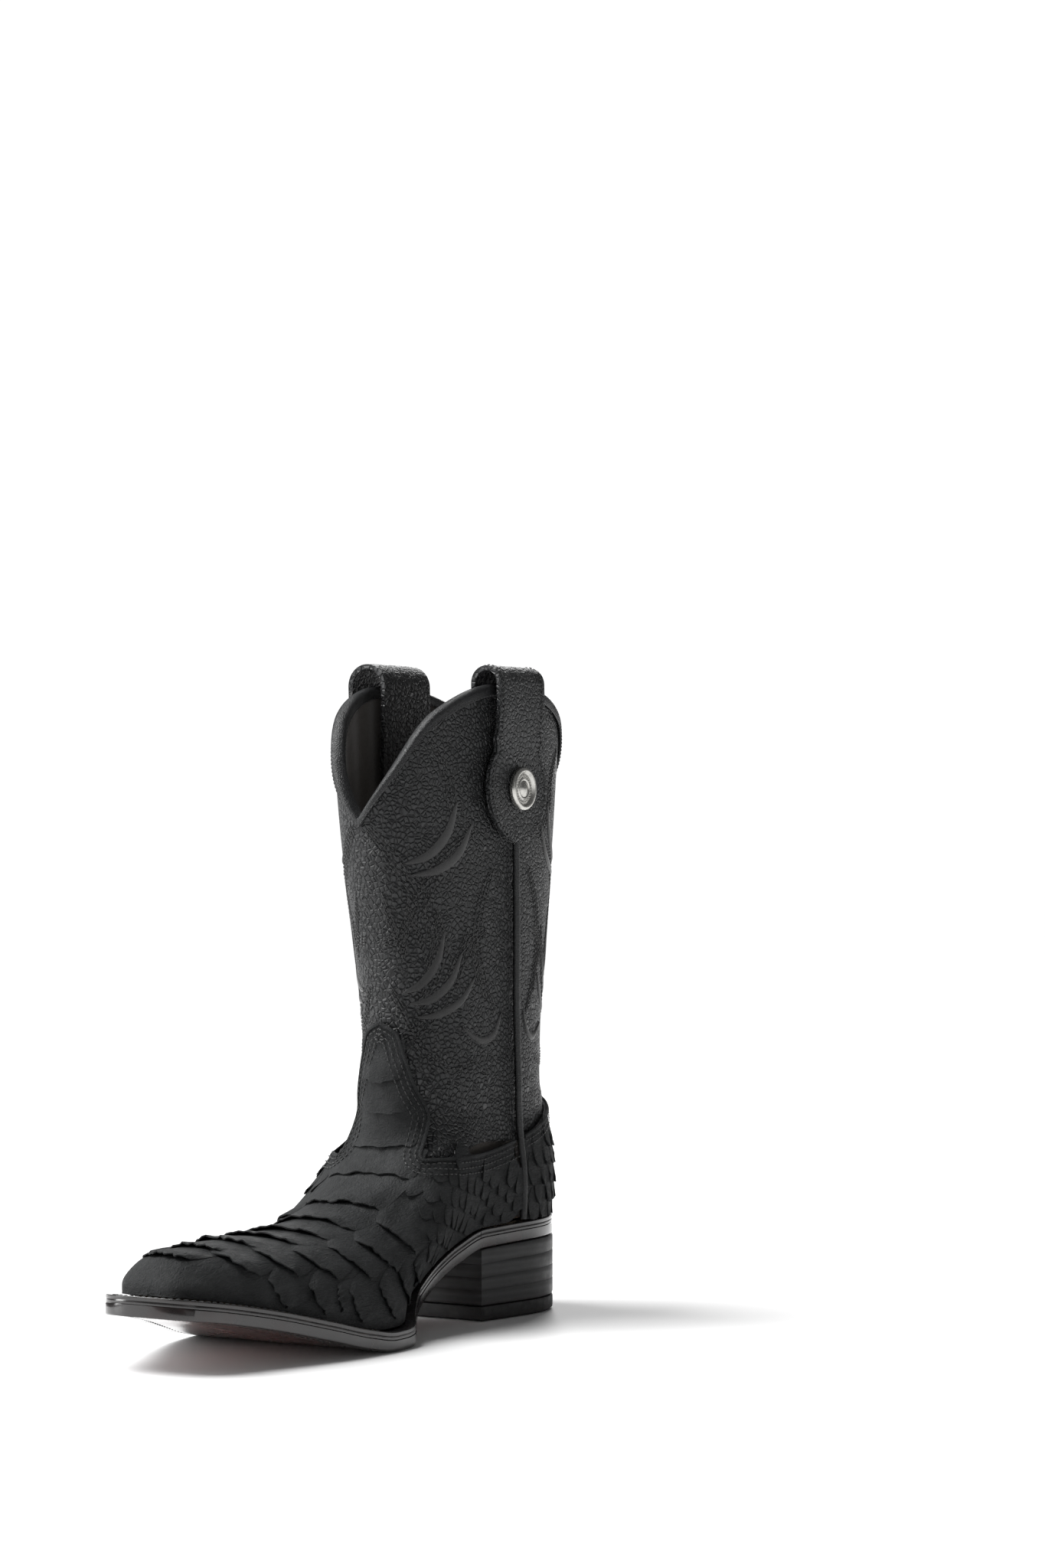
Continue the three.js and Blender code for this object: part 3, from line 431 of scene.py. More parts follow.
class Weave:
    """Adds nodes to a material one after another."""

    def __init__(self, material):
        self.material = material
        self.tree = material.node_tree
        self.shader = self.tree.nodes["Principled BSDF"]
        self.coords = self.add("ShaderNodeTexCoord")

    def add(self, kind, **values):
        node = self.tree.nodes.new(kind)
        for key, value in values.items():
            if hasattr(node, key):
                setattr(node, key, value)
            else:
                node.inputs[key.replace("_", " ")].default_value = value
        return node

    def link(self, a, b):
        self.tree.links.new(a, b)

    def object_space(self, scale=(1, 1, 1), turn=(0, 0, 0)):
        mapping = self.add("ShaderNodeMapping")
        mapping.inputs["Scale"].default_value = scale
        mapping.inputs["Rotation"].default_value = turn
        self.link(self.coords.outputs["Object"], mapping.inputs["Vector"])
        return mapping.outputs["Vector"]

    def noise(self, scale, detail=4.0, rough=0.55, distortion=0.0, space=None):
        node = self.add("ShaderNodeTexNoise", Scale=scale, Detail=detail, Roughness=rough,
                        Distortion=distortion)
        self.link(space or self.coords.outputs["Object"], node.inputs["Vector"])
        return node.outputs["Fac"]

    def cells(self, scale, space=None):
        node = self.add("ShaderNodeTexVoronoi", feature="DISTANCE_TO_EDGE", Scale=scale, Randomness=1.0)
        self.link(space or self.coords.outputs["Object"], node.inputs["Vector"])
        return node.outputs["Distance"]

    def waves(self, scale, direction, distortion):
        node = self.add("ShaderNodeTexWave", wave_type="BANDS", bands_direction=direction, Scale=scale,
                        Distortion=distortion, Detail=2.0)
        self.link(self.coords.outputs["Object"], node.inputs["Vector"])
        return node.outputs["Fac"]

    def attribute(self, name):
        return self.add("ShaderNodeAttribute", attribute_name=name).outputs["Fac"]

    def ramp(self, value, stops):
        node = self.add("ShaderNodeValToRGB")
        elements = node.color_ramp.elements
        while len(elements) < len(stops):
            elements.new(0.5)
        for element, (place, color) in zip(elements, stops):
            element.position = place
            element.color = (*color, 1) if len(color) == 3 else color
        self.link(value, node.inputs["Fac"])
        return node.outputs["Color"]

    def span(self, value, low, high, to_low=0.0, to_high=1.0):
        node = self.add("ShaderNodeMapRange")
        for key, number in (("From Min", low), ("From Max", high), ("To Min", to_low), ("To Max", to_high)):
            node.inputs[key].default_value = number
        self.link(value, node.inputs["Value"])
        return node.outputs["Result"]

    def math(self, operation, a, b):
        node = self.add("ShaderNodeMath", operation=operation)
        for socket, value in zip(node.inputs, (a, b)):
            if isinstance(value, (int, float)):
                socket.default_value = value
            else:
                self.link(value, socket)
        return node.outputs["Value"]

    def color(self, value):
        self.link(value, self.shader.inputs["Base Color"])

    def roughness(self, value):
        self.link(value, self.shader.inputs["Roughness"])

    def bumps(self, *layers):
        """Each layer is a value and its depth in millimetres."""
        previous = None
        for value, depth in layers:
            node = self.add("ShaderNodeBump", Strength=1.0, Distance=depth * MM)
            self.link(value, node.inputs["Height"])
            if previous:
                self.link(previous, node.inputs["Normal"])
            previous = node.outputs["Normal"]
        self.link(previous, self.shader.inputs["Normal"])


def pebbled_leather(name, tone=1.0, grain=440, depth=0.5):
    w = Weave(new_material(name, (0.014, 0.015, 0.016), 0.38, specular=0.42))
    pebble = w.span(w.cells(grain), 0.0, 0.22)
    blotch = w.noise(38, 5)
    stops = ((0.0, (0.004, 0.004, 0.0045)), (0.35, (0.016, 0.017, 0.018)), (1.0, (0.021, 0.022, 0.023)))
    w.color(w.ramp(w.math("MULTIPLY", pebble, blotch),
                   [(place, tuple(part * tone for part in color)) for place, color in stops]))
    w.roughness(w.span(w.noise(210, 3), 0.3, 0.75, 0.36, 0.54))
    w.bumps((pebble, depth), (w.noise(1500, 3), 0.05), (w.noise(60, 3), 0.25))
    return w.material


def scaled_leather(name):
    w = Weave(new_material(name, (0.02, 0.021, 0.021), 0.66, specular=0.3))
    fine = w.cells(900, space=w.object_space((1, 0.35, 1)))
    wrinkle = w.noise(420, 5, 0.7, 1.5, w.object_space((1, 0.3, 1), (0, 0, 0.5)))
    tone = w.noise(55, 5, 0.6)
    w.color(w.ramp(w.math("ADD", w.math("MULTIPLY", tone, 0.75), w.math("MULTIPLY", wrinkle, 0.3)), [
        (0.28, (0.005, 0.0055, 0.006)), (0.5, (0.013, 0.014, 0.0145)), (0.75, (0.028, 0.029, 0.03))]))
    w.roughness(w.span(wrinkle, 0.3, 0.7, 0.55, 0.8))
    w.bumps((wrinkle, 0.8), (fine, 0.3), (w.noise(130, 4), 0.6))
    return w.material


def suede_lining(name):
    w = Weave(new_material(name, (0.07, 0.06, 0.052), 0.92, specular=0.2, sheen=0.35))
    nap = w.noise(900, 6, 0.7)
    patch = w.noise(45, 4)
    w.color(w.ramp(w.math("MULTIPLY", w.math("ADD", nap, patch), 0.5), [
        (0.25, (0.03, 0.026, 0.023)), (0.5, (0.062, 0.054, 0.048)), (0.8, (0.1, 0.088, 0.078))]))
    w.bumps((nap, 0.12), (patch, 0.4))
    return w.material


def burnished_sole(name):
    """Needs an edge attribute: millimetres in from the edge of the sole, 0 on the edge itself."""
    w = Weave(new_material(name, (0.12, 0.035, 0.028), 0.22, specular=0.5, coat=0.6, coat_roughness=0.12))
    rub = w.noise(24, 5, 0.6, 0.8)
    pores = w.noise(260, 4, 0.7, 0.0, w.object_space((1, 0.35, 1)))
    inwards = w.math("ADD", w.attribute("edge"), w.span(rub, 0.3, 0.7, -4, 4))
    across = w.span(inwards, 0, 44)
    body = w.ramp(across, [(0.0, (0.006, 0.004, 0.004)), (0.14, (0.024, 0.007, 0.006)),
                           (0.32, (0.075, 0.02, 0.017)), (0.7, (0.17, 0.05, 0.042)),
                           (1.0, (0.27, 0.095, 0.082))])
    dark = w.ramp(pores, [(0.35, (0.55, 0.5, 0.5)), (0.6, (1, 1, 1))])
    mix = w.add("ShaderNodeMix", data_type="RGBA", blend_type="MULTIPLY")
    mix.inputs[0].default_value = 0.8
    w.link(body, mix.inputs[6])
    w.link(dark, mix.inputs[7])
    w.color(mix.outputs[2])
    w.roughness(w.span(rub, 0.3, 0.75, 0.14, 0.4))
    w.bumps((pores, 0.03), (rub, 0.15))
    return w.material


def glossy_edge(name):
    w = Weave(new_material(name, (0.01, 0.009, 0.009), 0.2, coat=0.5, coat_roughness=0.08))
    streak = w.noise(160, 4, 0.6, 0.0, w.object_space((0.25, 0.25, 3)))
    w.color(w.ramp(streak, [
        (0.3, (0.005, 0.0045, 0.0045)), (0.55, (0.013, 0.011, 0.011)), (0.8, (0.03, 0.022, 0.02))]))
    w.roughness(w.span(streak, 0.3, 0.75, 0.14, 0.38))
    w.bumps((streak, 0.06), (w.noise(90, 3), 0.12))
    return w.material


def rubber(name, base=0.014, rough=0.55):
    w = Weave(new_material(name, (base, base, base), rough, specular=0.4))
    dust = w.noise(70, 5)
    w.color(w.ramp(dust, [(0.35, (base * 0.7,) * 3), (0.6, (base * 1.2, base * 1.2, base * 1.25)),
                          (0.85, (base * 3, base * 3, base * 2.9))]))
    w.roughness(w.span(w.noise(320, 4), 0.3, 0.7, rough - 0.1, rough + 0.15))
    w.bumps((w.noise(1400, 4), 0.04))
    return w.material


def stacked_heel(name):
    w = Weave(new_material(name, (0.016, 0.016, 0.017), 0.45, specular=0.45))
    layers = w.waves(92, "Z", 0.6)
    worn = w.noise(85, 5, 0.65)
    w.color(w.ramp(w.math("ADD", w.math("MULTIPLY", layers, 0.2), worn), [
        (0.35, (0.009, 0.009, 0.009)), (0.65, (0.019, 0.019, 0.02)), (0.95, (0.04, 0.04, 0.041))]))
    w.roughness(w.span(worn, 0.3, 0.7, 0.36, 0.6))
    w.bumps((layers, 0.05), (w.noise(600, 4), 0.05))
    return w.material


def thread(name, base=0.012):
    w = Weave(new_material(name, (base, base, base), 0.38, specular=0.6, sheen=0.2))
    strand = w.waves(1300, "DIAGONAL", 1.5)
    w.color(w.ramp(strand, [(0.2, (base * 0.5,) * 3), (0.8, (base * 1.6,) * 3)]))
    w.bumps((strand, 0.08))
    return w.material


def brushed(name, color, rough, scale=900):
    w = Weave(new_material(name, color, rough, metallic=1.0))
    marks = w.noise(scale, 5, 0.7)
    w.roughness(w.span(marks, 0.3, 0.7, rough - 0.08, rough + 0.15))
    w.color(w.ramp(w.noise(240, 4), [(0.3, tuple(c * 0.75 for c in color)), (0.7, color)]))
    w.bumps((marks, 0.02))
    return w.material


def fibre(name, light, dark, scale=500, depth=0.2):
    w = Weave(new_material(name, light, 0.9, specular=0.2))
    grain = w.noise(scale, 6, 0.7)
    w.color(w.ramp(grain, [(0.3, dark), (0.7, light)]))
    w.bumps((grain, depth))
    return w.material


HIDE_FINISH = scaled_leather("scaled_hide")
SHAFT_FINISH = pebbled_leather("pebbled_shaft_leather")
STRAP_FINISH = pebbled_leather("strap_leather", 1.2, 420, 0.5)
BINDING_FINISH = pebbled_leather("binding_leather", 1.0, 1100, 0.08)
LINING_FINISH = suede_lining("suede_lining")
SOLE_FINISH = burnished_sole("burnished_sole_leather")
EDGE_FINISH = glossy_edge("black_edge")
BLOCK_FINISH = stacked_heel("stacked_heel")
RUBBER_FINISH = rubber("heel_rubber")
THREAD_FINISH = thread("black_thread")
SATIN_FINISH = thread("satin_embroidery", 0.007)
SILVER_FINISH = brushed("silver", (0.62, 0.61, 0.58), 0.25)
STEEL_FINISH = brushed("nail_steel", (0.42, 0.41, 0.4), 0.4)
PEG_FINISH = fibre("peg_wood", (0.16, 0.07, 0.04), (0.05, 0.02, 0.015), 900, 0.1)
BOARD_FINISH = fibre("fibre_board", (0.3, 0.24, 0.17), (0.2, 0.155, 0.11))
CORK_FINISH = fibre("cork", (0.34, 0.22, 0.12), (0.12, 0.07, 0.04), 260, 0.4)


# ---------- hide of the foot ----------
def upper_sheet(name, material, u_from, u_to, top_of, bottom, columns, rows, offset, thickness, stands_for,
                slot, ripple=None):
    """A layer of the upper between two round places, from ring `bottom` to ring top_of(u)."""
    def place(a, b):
        v_guess = lerp(bottom, 9.0, b)
        u = lerp(u_from(v_guess), u_to(v_guess), a)
        top = top_of(u)
        v = lerp(bottom, top, b)
        lift = offset if ripple is None else offset + ripple(u, v)
        return skin(u, v, lift)
    bm = bmesh.new()
    grid(bm, columns, rows, place)
    face_off_upper(bm)
    thicken(bm, thickness)
    return finish_piece(bm, name, material, stands_for=stands_for)


def table_of(make, low, high, steps=400):
    us = np.linspace(low, high, steps)
    values = make(us)
    return lambda u: np.interp(u, us, values)


foot_top = table_of(lambda u: ring_at(u, top_line(fold(u))), -0.25, 0.75, 801)
rim_ring = table_of(lambda u: ring_at(u, rim_height(u)), -0.25, 0.75, 801)


def seam_edge(u, distance):
    return lambda v: beside_seam(u, v, distance)


def seam_edges(start, distance):
    """Both side edges of a sheet that fills half a turn from `start`, kept off the side seams."""
    return seam_edge(start, distance), seam_edge(start + 0.5, -distance)


FRONT_HALF, BACK_HALF = -0.25, 0.25
for node, start, columns, rows in (("vamp", FRONT_HALF, 150, 60), ("counter", BACK_HALF, 80, 36)):
    upper_sheet(f"{node}_leather", HIDE_FINISH, *seam_edges(start, SEAM), foot_top, WELT_LINE, columns, rows,
                0.0, HIDE, [node], "scaled_hide")


def flap(bm, centre, towards, length, width, lift, rounded=0.3, columns=8, rows=5, jag=0.55, base=0.15):
    """One free scale: rooted at one end, its torn end lifted, laid on the upper round `centre`."""
    where, normal = settle(centre)
    along_flap = Vector(towards) - normal * Vector(towards).dot(normal)
    along_flap.normalize()
    across = normal.cross(along_flap)
    made = bmesh.ops.create_grid(bm, x_segments=columns, y_segments=rows, size=1)["verts"]
    tears = [rng.uniform(-1, 1) for _ in range(columns + 1)]
    curl = [rng.uniform(0.6, 1.25) for _ in range(columns + 1)]
    skew = rng.uniform(-0.06, 0.06)
    for vert in made:
        b, a = vert.co.x, (vert.co.y + 1) / 2
        column = int(round((b + 1) / 2 * columns))
        reach = length * (1 - rounded * b * b) + skew * length * b
        down = a * reach
        if a > 0.99:
            down += tears[column] * jag
        side = b * width / 2 * (1 - 0.16 * a ** 4)
        spot = where + along_flap * (down - 0.42 * length) + across * side
        near, out = settle(spot)
        height = base + lift * a ** 1.7 * (1 - 0.85 * b ** 4) * (curl[column] if a > 0.7 else 1)
        vert.co = near + out * height
    return made


def close_flaps(bm, name, thickness=0.55):
    face_off_upper(bm)
    bmesh.ops.solidify(bm, geom=bm.faces[:], thickness=thickness)
    return finish_piece(bm, name, HIDE_FINISH, hard=50, weld=1e-5)


def across_foot(y, angle):
    """Point of the forefoot at y, `angle` degrees round from its ridge (+ is medial)."""
    axis = Vector((0, y, float(feather_at(y)) + 6))
    turn = math.radians(angle)
    ray = Vector((math.sin(turn), 0, math.cos(turn)))
    return hit(axis + ray * (max(float(ridge_height(y)), 45) + 25), -ray)


def side_point(side, y, height):
    return hit((side * 150, y, float(feather_at(y)) + height), (-side, 0, 0))


def foot_radius(y):
    return float(half_width(y, 1, 6)) * 0.5 + float(ridge_height(y)) * 0.5


def belly_scales():
    """Wide plates down the middle of the vamp, then slanting rows on both sides."""
    bm = bmesh.new()
    pitch = 21.0
    rows = ((48, 0.0, 25, 29, 0.5, -204), (78, 0.5, 21, 20, 0.35, -199), (98, 0.0, 16, 14, 0.2, -176))
    for y in np.arange(-222.0, -90.0, pitch):
        radius = max(foot_radius(y), 16)
        slope = Vector((rng.uniform(-0.06, 0.06), -1, -0.25))
        spot = across_foot(y, rng.uniform(-3, 3))
        flap(bm, spot, slope, pitch * 1.3, min(60, radius * 1.3), 2.2, 0.16, 18, 6, 0.9)
        for side in (1, -1):
            for angle, share, length, width, tilt, first in rows:
                place_y = y + share * pitch + rng.uniform(-1, 1)
                spot = across_foot(place_y, side * (angle + rng.uniform(-2, 2)))
                if place_y > -88 or place_y < first or spot.z < feather_at(place_y) + 4:
                    continue
                direction = Vector((side * 0.3, -1, -tilt))
                flap(bm, spot, direction, length, width, 2.2, 0.1, 12, 5, 0.8)
    return close_flaps(bm, "vamp_scales")


def tongue_scales():
    bm = bmesh.new()
    for z, width in ((76, 52), (91, 40), (107, 34), (121, 27)):
        u = rng.uniform(-0.004, 0.004)
        v = ring_at(u, z)
        spot = skin(np.array(u), v)
        flap(bm, spot, (rng.uniform(-0.05, 0.05), -0.25, -1), 19, width, 1.5, 0.1, 12, 6, 0.7)
    return close_flaps(bm, "tongue_scales")


def quarter_scales():
    """Small, even scales on the rear sides of the vamp, in slanting rows that look at the toe."""
    bm = bmesh.new()
    pitch = 8.6
    for side in (1, -1):
        for row, y in enumerate(np.arange(-88.0, -12.0, pitch * 0.8)):
            height = 5.5 + (row % 2) * pitch * 0.5
            while True:
                spot = side_point(side, y + height * 0.12, height)
                if spot is None:
                    break
                u = 0.25 * side
                limit = 70 if y > -60 else 78
                if spot.z > limit - 0.5 or height > 44:
                    break
                size = pitch * rng.uniform(1.1, 1.35)
                flap(bm, spot, (side * 0.1, -1, -0.75), size * 1.15, size, 1.1, 0.42, 4, 4, 0.35)
                height += pitch
    return close_flaps(bm, "quarter_scales")


def counter_scales():
    """Longer scales round the heel counter that look down and forwards."""
    bm = bmesh.new()
    pitch = 12.5
    for row, height in enumerate(np.arange(6.0, 62.0, 8.2)):
        steps = 13
        for step in range(-steps, steps + 1):
            place = (step + 0.5 * (row % 2)) * pitch
            u = 0.5 + place / 395.0
            if abs(u - 0.5) > 0.231:
                continue
            z = float(feather_at(20)) + height
            limit = float(top_line(fold(np.array(u)))) - 6
            if z > limit:
                continue
            spot = skin(np.array(u), ring_at(u, z))
            side = 1 if u < 0.5 else -1
            flap(bm, spot, (0, -0.45, -1) if abs(u - 0.5) > 0.06 else (side * 0.15, 0.1, -1),
                 pitch * 1.12, pitch * 1.1, 1.5, 0.4, 6, 4, 0.5)
    return close_flaps(bm, "counter_scales")


belly_scales()
tongue_scales()
quarter_scales()
counter_scales()


# ---------- thread ----------
def stitch_row(points, normals, pitch=2.5, length=1.9, thick=0.26, sink=0.0, flat=1.0):
    """Stitches in a small mesh along a line of points with outward normals."""
    points, normals = np.asarray(points), np.asarray(normals)
    travel = np.concatenate([[0], np.cumsum(np.linalg.norm(np.diff(points, axis=0), axis=1))])
    bm = bmesh.new()

    def at(place, values):
        return Vector([np.interp(place, travel, values[:, k]) for k in range(3)])
    for place in np.arange(pitch / 2, travel[-1], pitch):
        spot = at(place, points)
        out = at(place, normals).normalized()
        way = at(place + 0.6, points) - at(place - 0.6, points)
        if way.length < 1e-6:
            continue
        way.normalize()
        side = out.cross(way).normalized()
        out = way.cross(side)
        turn = Matrix((side * thick, way * length / 2, out * thick * flat)).transposed().to_4x4()
        turn.translation = spot - out * sink
        bmesh.ops.create_uvsphere(bm, u_segments=6, v_segments=4, radius=1, matrix=turn)
    return mesh_of(bm, "row")


def gather(bm, meshes):
    for mesh in meshes:
        bm.from_mesh(mesh)
        bpy.data.meshes.remove(mesh)


def sewn(name, rows, body="root"):
    """Joins rows of stitches to one piece."""
    bm = bmesh.new()
    gather(bm, rows)
    return finish_piece(bm, name, THREAD_FINISH, body=body, hard=80, weld=1e-6)


def on_upper(us, vs, offset):
    us, vs = np.broadcast_arrays(np.asarray(us, float), np.asarray(vs, float))
    return skin(us, vs, offset), sample(NORMALS, us, vs)


def edge_line(below, u_low, u_high, steps=240):
    """A line on the upper that keeps a distance below the top edge of vamp or counter."""
    us = np.linspace(u_low, u_high, steps)
    edge = skin(us, foot_top(us))
    tangents = np.gradient(edge, axis=0)
    normals = sample(NORMALS, us, foot_top(us))
    inwards_way = np.cross(tangents, normals)
    inwards_way /= np.linalg.norm(inwards_way, axis=1, keepdims=True)
    lines = edge + inwards_way * below
    settled = [settle(p) for p in lines]
    return np.array([w for w, _ in settled]), np.array([n for _, n in settled])


edge_sign = 1.0
probe, _ = edge_line(4.0, -0.2, 0.2, 60)
if probe[5][2] > skin(np.array(-0.2 + 0.4 * 5 / 59), foot_top(np.array(-0.2 + 0.4 * 5 / 59)))[2]:
    edge_sign = -1.0


def vamp_edge():
    """Three rows of stitches round tongue and quarters."""
    rows = []
    for below in (2.6, 5.2, 7.8):
        for low, high in ((-0.243, 0.243), (0.257, 0.743)):
            if low > 0 and below > 6:
                continue
            points, normals = edge_line(edge_sign * below, low, high)
            rows.append(stitch_row(points + normals * 0.75, normals, 2.6, 2.0, 0.3))
    sewn("vamp_stitches", rows)


def cord_along(bm, points, normals, radius_across, radius_out, sides=8):
    """An oval cord along points with outward normals."""
    points, normals = np.asarray(points), np.asarray(normals)
    ways = np.gradient(points, axis=0)
    ways /= np.maximum(np.linalg.norm(ways, axis=1, keepdims=True), 1e-9)
    across = np.cross(normals, ways)
    across /= np.maximum(np.linalg.norm(across, axis=1, keepdims=True), 1e-9)
    count = len(points)

    def place(a, b):
        row = np.round(b * (count - 1)).astype(int)
        turn = a * 2 * math.pi
        return (points[row] + across[row] * (np.cos(turn) * radius_across)[:, None]
                + normals[row] * (np.sin(turn) * radius_out)[:, None])
    grid(bm, sides, count - 1, place)


def roll_edges():
    bm = bmesh.new()
    for low, high in ((-0.242, 0.242), (0.258, 0.742)):
        points, normals = edge_line(edge_sign * 0.4, low, high, 260)
        cord_along(bm, points + normals * 0.15, normals, 0.9, 0.75)
    cap_ends(bm)
    finish_piece(bm, "vamp_rolled_edge", HIDE_FINISH)


vamp_edge()
roll_edges()


# ---------- shaft ----------
LAP = 7.0
LINING_SPLIT = 9.0
PANEL_SEAM, LINING_SEAM = 0.2, 0.4
HALVES = (("front", FRONT_HALF), ("back", BACK_HALF))
for half, start in HALVES:
    upper_sheet(f"shaft_{half}_leather", SHAFT_FINISH, *seam_edges(start, PANEL_SEAM), rim_ring, LAP,
                120, 110, PANEL_FACE, PANEL, [f"shaft_{half}"], "shaft_leather")


def pleats(u, v):
    """Shallow folds of the lining beside the pull straps and down the back."""
    beside = np.exp(-((fold(u) - 0.25) / 0.055) ** 2)
    return -0.5 * (0.4 + beside) * (1 + np.sin(u * 2 * math.pi * 26 + 0.6 * v)) * smooth((v - 12) / 1.5)


for half, start in HALVES:
    upper_sheet(f"lining_{half}", LINING_FINISH, *seam_edges(start, PANEL_SEAM), rim_ring,
                LINING_SPLIT + 0.02, 140, 60, LINING_FACE, LINING, [f"shaft_lining_{half}"], "lining", pleats)


def foot_lining(name, u_from, u_to, columns, rows, node):
    """A lining of the foot as two skins closed along every edge; the toe is too tight to solidify."""
    turns = 2 * rows + 2

    def place(a, b):
        row = np.round(b * turns).astype(int) % turns
        level = np.where(row <= rows, row, turns - 1 - row) / rows
        inner = np.where((row > rows) & (a > 1e-6) & (a < 1 - 1e-6), LINING, 0.0)
        v = lerp(SEAT, LINING_SPLIT - 0.02, level)
        return skin(lerp(u_from(v), u_to(v), a), v, LINING_FACE - 0.4 - inner)
    bm = bmesh.new()
    grid(bm, columns, turns, place)
    for vert in bm.verts:
        near, out = settle(vert.co)
        if (near - vert.co).dot(out) < -LINING_FACE:
            vert.co = near + out * (LINING_FACE - 0.4)
    outwards(bm)
    finish_piece(bm, name, LINING_FINISH, stands_for=[node])


foot_lining("lining_foot", *seam_edges(FRONT_HALF, LINING_SEAM), 120, 40, "vamp_lining")
foot_lining("lining_heel", *seam_edges(BACK_HALF, LINING_SEAM), 80, 30, "heel_lining")


def rim_binding():
    """Thin rounded binding over the rim, with a row of stitches on both faces."""
    count = 720
    us = np.linspace(-0.25, 0.75, count, endpoint=False)
    v_top = rim_ring(us)
    v_low = ring_at(us, rim_height(us) - 3.6)
    out, inn = PANEL_FACE + 0.75, LINING_BACK - 0.75
    profile = [(out + 0.55, 0.0), (out + 0.95, 0.12), (out + 1.0, 0.5), (out + 0.95, 0.9), (out + 0.6, 1.25),
               (out - 0.6, 1.52), ((out + inn) / 2, 1.6), (inn + 0.6, 1.52), (inn - 0.6, 1.25),
               (inn - 0.95, 0.9), (inn - 1.0, 0.5), (inn - 0.95, 0.12), (inn - 0.55, 0.0), (inn, 0.1),
               (inn + 0.1, 0.95), ((out + inn) / 2, 1.2), (out - 0.1, 0.95), (out, 0.1)]
    offsets = np.array([p[0] for p in profile])
    lifts = np.array([p[1] for p in profile])

    def place(a, b):
        k = np.round(a * len(profile)).astype(int) % len(profile)
        row = np.round(b * count).astype(int) % count
        low = skin(us[row], v_low[row], offsets[k])
        top = skin(us[row], v_top[row], offsets[k])
        share = np.minimum(lifts[k], 1.0)[:, None]
        point = low * (1 - share) + top * share
        point[:, 2] += np.maximum(lifts[k] - 1.0, 0) * 3.2
        return point
    bm = bmesh.new()
    grid(bm, len(profile), count, place)
    outwards(bm)
    finish_piece(bm, "rim_binding", BINDING_FINISH, stands_for=["top_binding"])
    rows = []
    v_stitch = ring_at(us, rim_height(us) - 3.0)
    closed = np.append(us, us[0] + 1)
    v_closed = np.append(v_stitch, v_stitch[0])
    points, normals = on_upper(closed, v_closed, out + 0.98)
    rows.append(stitch_row(points, normals, 2.2, 1.5, 0.24))
    points, normals = on_upper(closed, v_closed, inn - 0.98)
    rows.append(stitch_row(points, -normals, 2.2, 1.5, 0.24))
    sewn("binding_stitches", rows)


rim_binding()


def side_pipings():
    for name, u in (("medial", 0.25), ("lateral", 0.75)):
        top = float(ring_at(u, RIM_HEIGHT - STRAP_DROP - 0.5))
        vs = np.linspace(SEAT, top, 220)
        bm = bmesh.new()
        points, normals = on_upper(u, vs, -0.2)
        cord_along(bm, points, normals, 1.75, 1.5, 12)
        cap_ends(bm)
        finish_piece(bm, f"side_cord_{name}", BINDING_FINISH,
                     stands_for=[f"side_piping_{name}"])
        rows = []
        for way in (-1, 1):
            vs = np.linspace(float(foot_top(np.array(u))) + 0.1, top, 160)
            us = beside_seam(u, vs, way * 3.4)
            points, normals = on_upper(us, vs, PANEL_FACE + 0.12)
            rows.append(stitch_row(points, normals, 2.5, 1.8, 0.24))
        sewn(f"side_stitches_{name}", rows)


side_pipings()


# ---------- embroidery ----------
def spline(points, steps=60):
    """A smooth open curve through flat points."""
    p = np.array([points[0]] + list(points) + [points[-1]], float)
    out = []
    spans = len(points) - 1
    for k in range(spans):
        for t in np.linspace(0, 1, max(2, steps // spans), endpoint=False):
            out.append(catmull(*p[k:k + 4], t))
    out.append(p[-1])
    return np.array(out)


def beside(line, distance):
    way = np.gradient(line, axis=0)
    way /= np.maximum(np.linalg.norm(way, axis=1, keepdims=True), 1e-9)
    return line + np.stack([-way[:, 1], way[:, 0]], 1) * np.asarray(distance)[:, None]


# Flat patterns for a quarter of the shaft: mm round from the middle line, mm of height.
FLAMES = [([(4, 226), (19, 214), (37, 196), (47, 176), (42, 156), (30, 142)], 5, 2.4),
          ([(8, 172), (22, 176), (38, 190), (52, 208), (72, 222)], 4, 2.4),
          ([(14, 128), (30, 134), (48, 148), (64, 168), (78, 178)], 4, 2.4),
          ([(84, 206), (76, 190), (72, 172), (76, 154), (84, 140)], 3, 2.4),
          ([(50, 262), (60, 248), (62, 234), (74, 222), (84, 224)], 3, 2.4),
          ([(10, 152), (20, 140), (34, 124), (52, 116), (70, 118)], 3, 2.4)]
ZIGZAG = [(12, 186), (23, 164), (31, 184), (40, 158), (49, 178), (58, 152), (66, 170), (76, 146)]
LEAVES = [([(30, 208), (46, 212), (58, 222), (64, 236)], 4.6),
          ([(34, 203), (50, 205), (64, 213), (72, 226)], 4.2),
          ([(38, 197), (54, 198), (68, 204), (79, 214)], 3.6),
          ([(20, 150), (34, 154), (46, 164), (52, 178)], 4.6),
          ([(24, 145), (40, 147), (54, 155), (62, 168)], 4.2),
          ([(28, 139), (44, 140), (60, 146), (70, 157)], 3.6),
          ([(60, 134), (72, 128), (82, 130), (88, 140)], 3.4)]
QUARTER_ROUND = 98.0


def to_shaft(flat, middle, way, lift):
    """Sends flat pattern points to the shaft, outwards from a middle line."""
    us = middle + way * flat[:, 0] / QUARTER_ROUND * 0.25
    heights = np.clip(flat[:, 1], 100, rim_height(us) - 7)
    return on_upper(us, ring_at(us, heights), PANEL_FACE + lift)


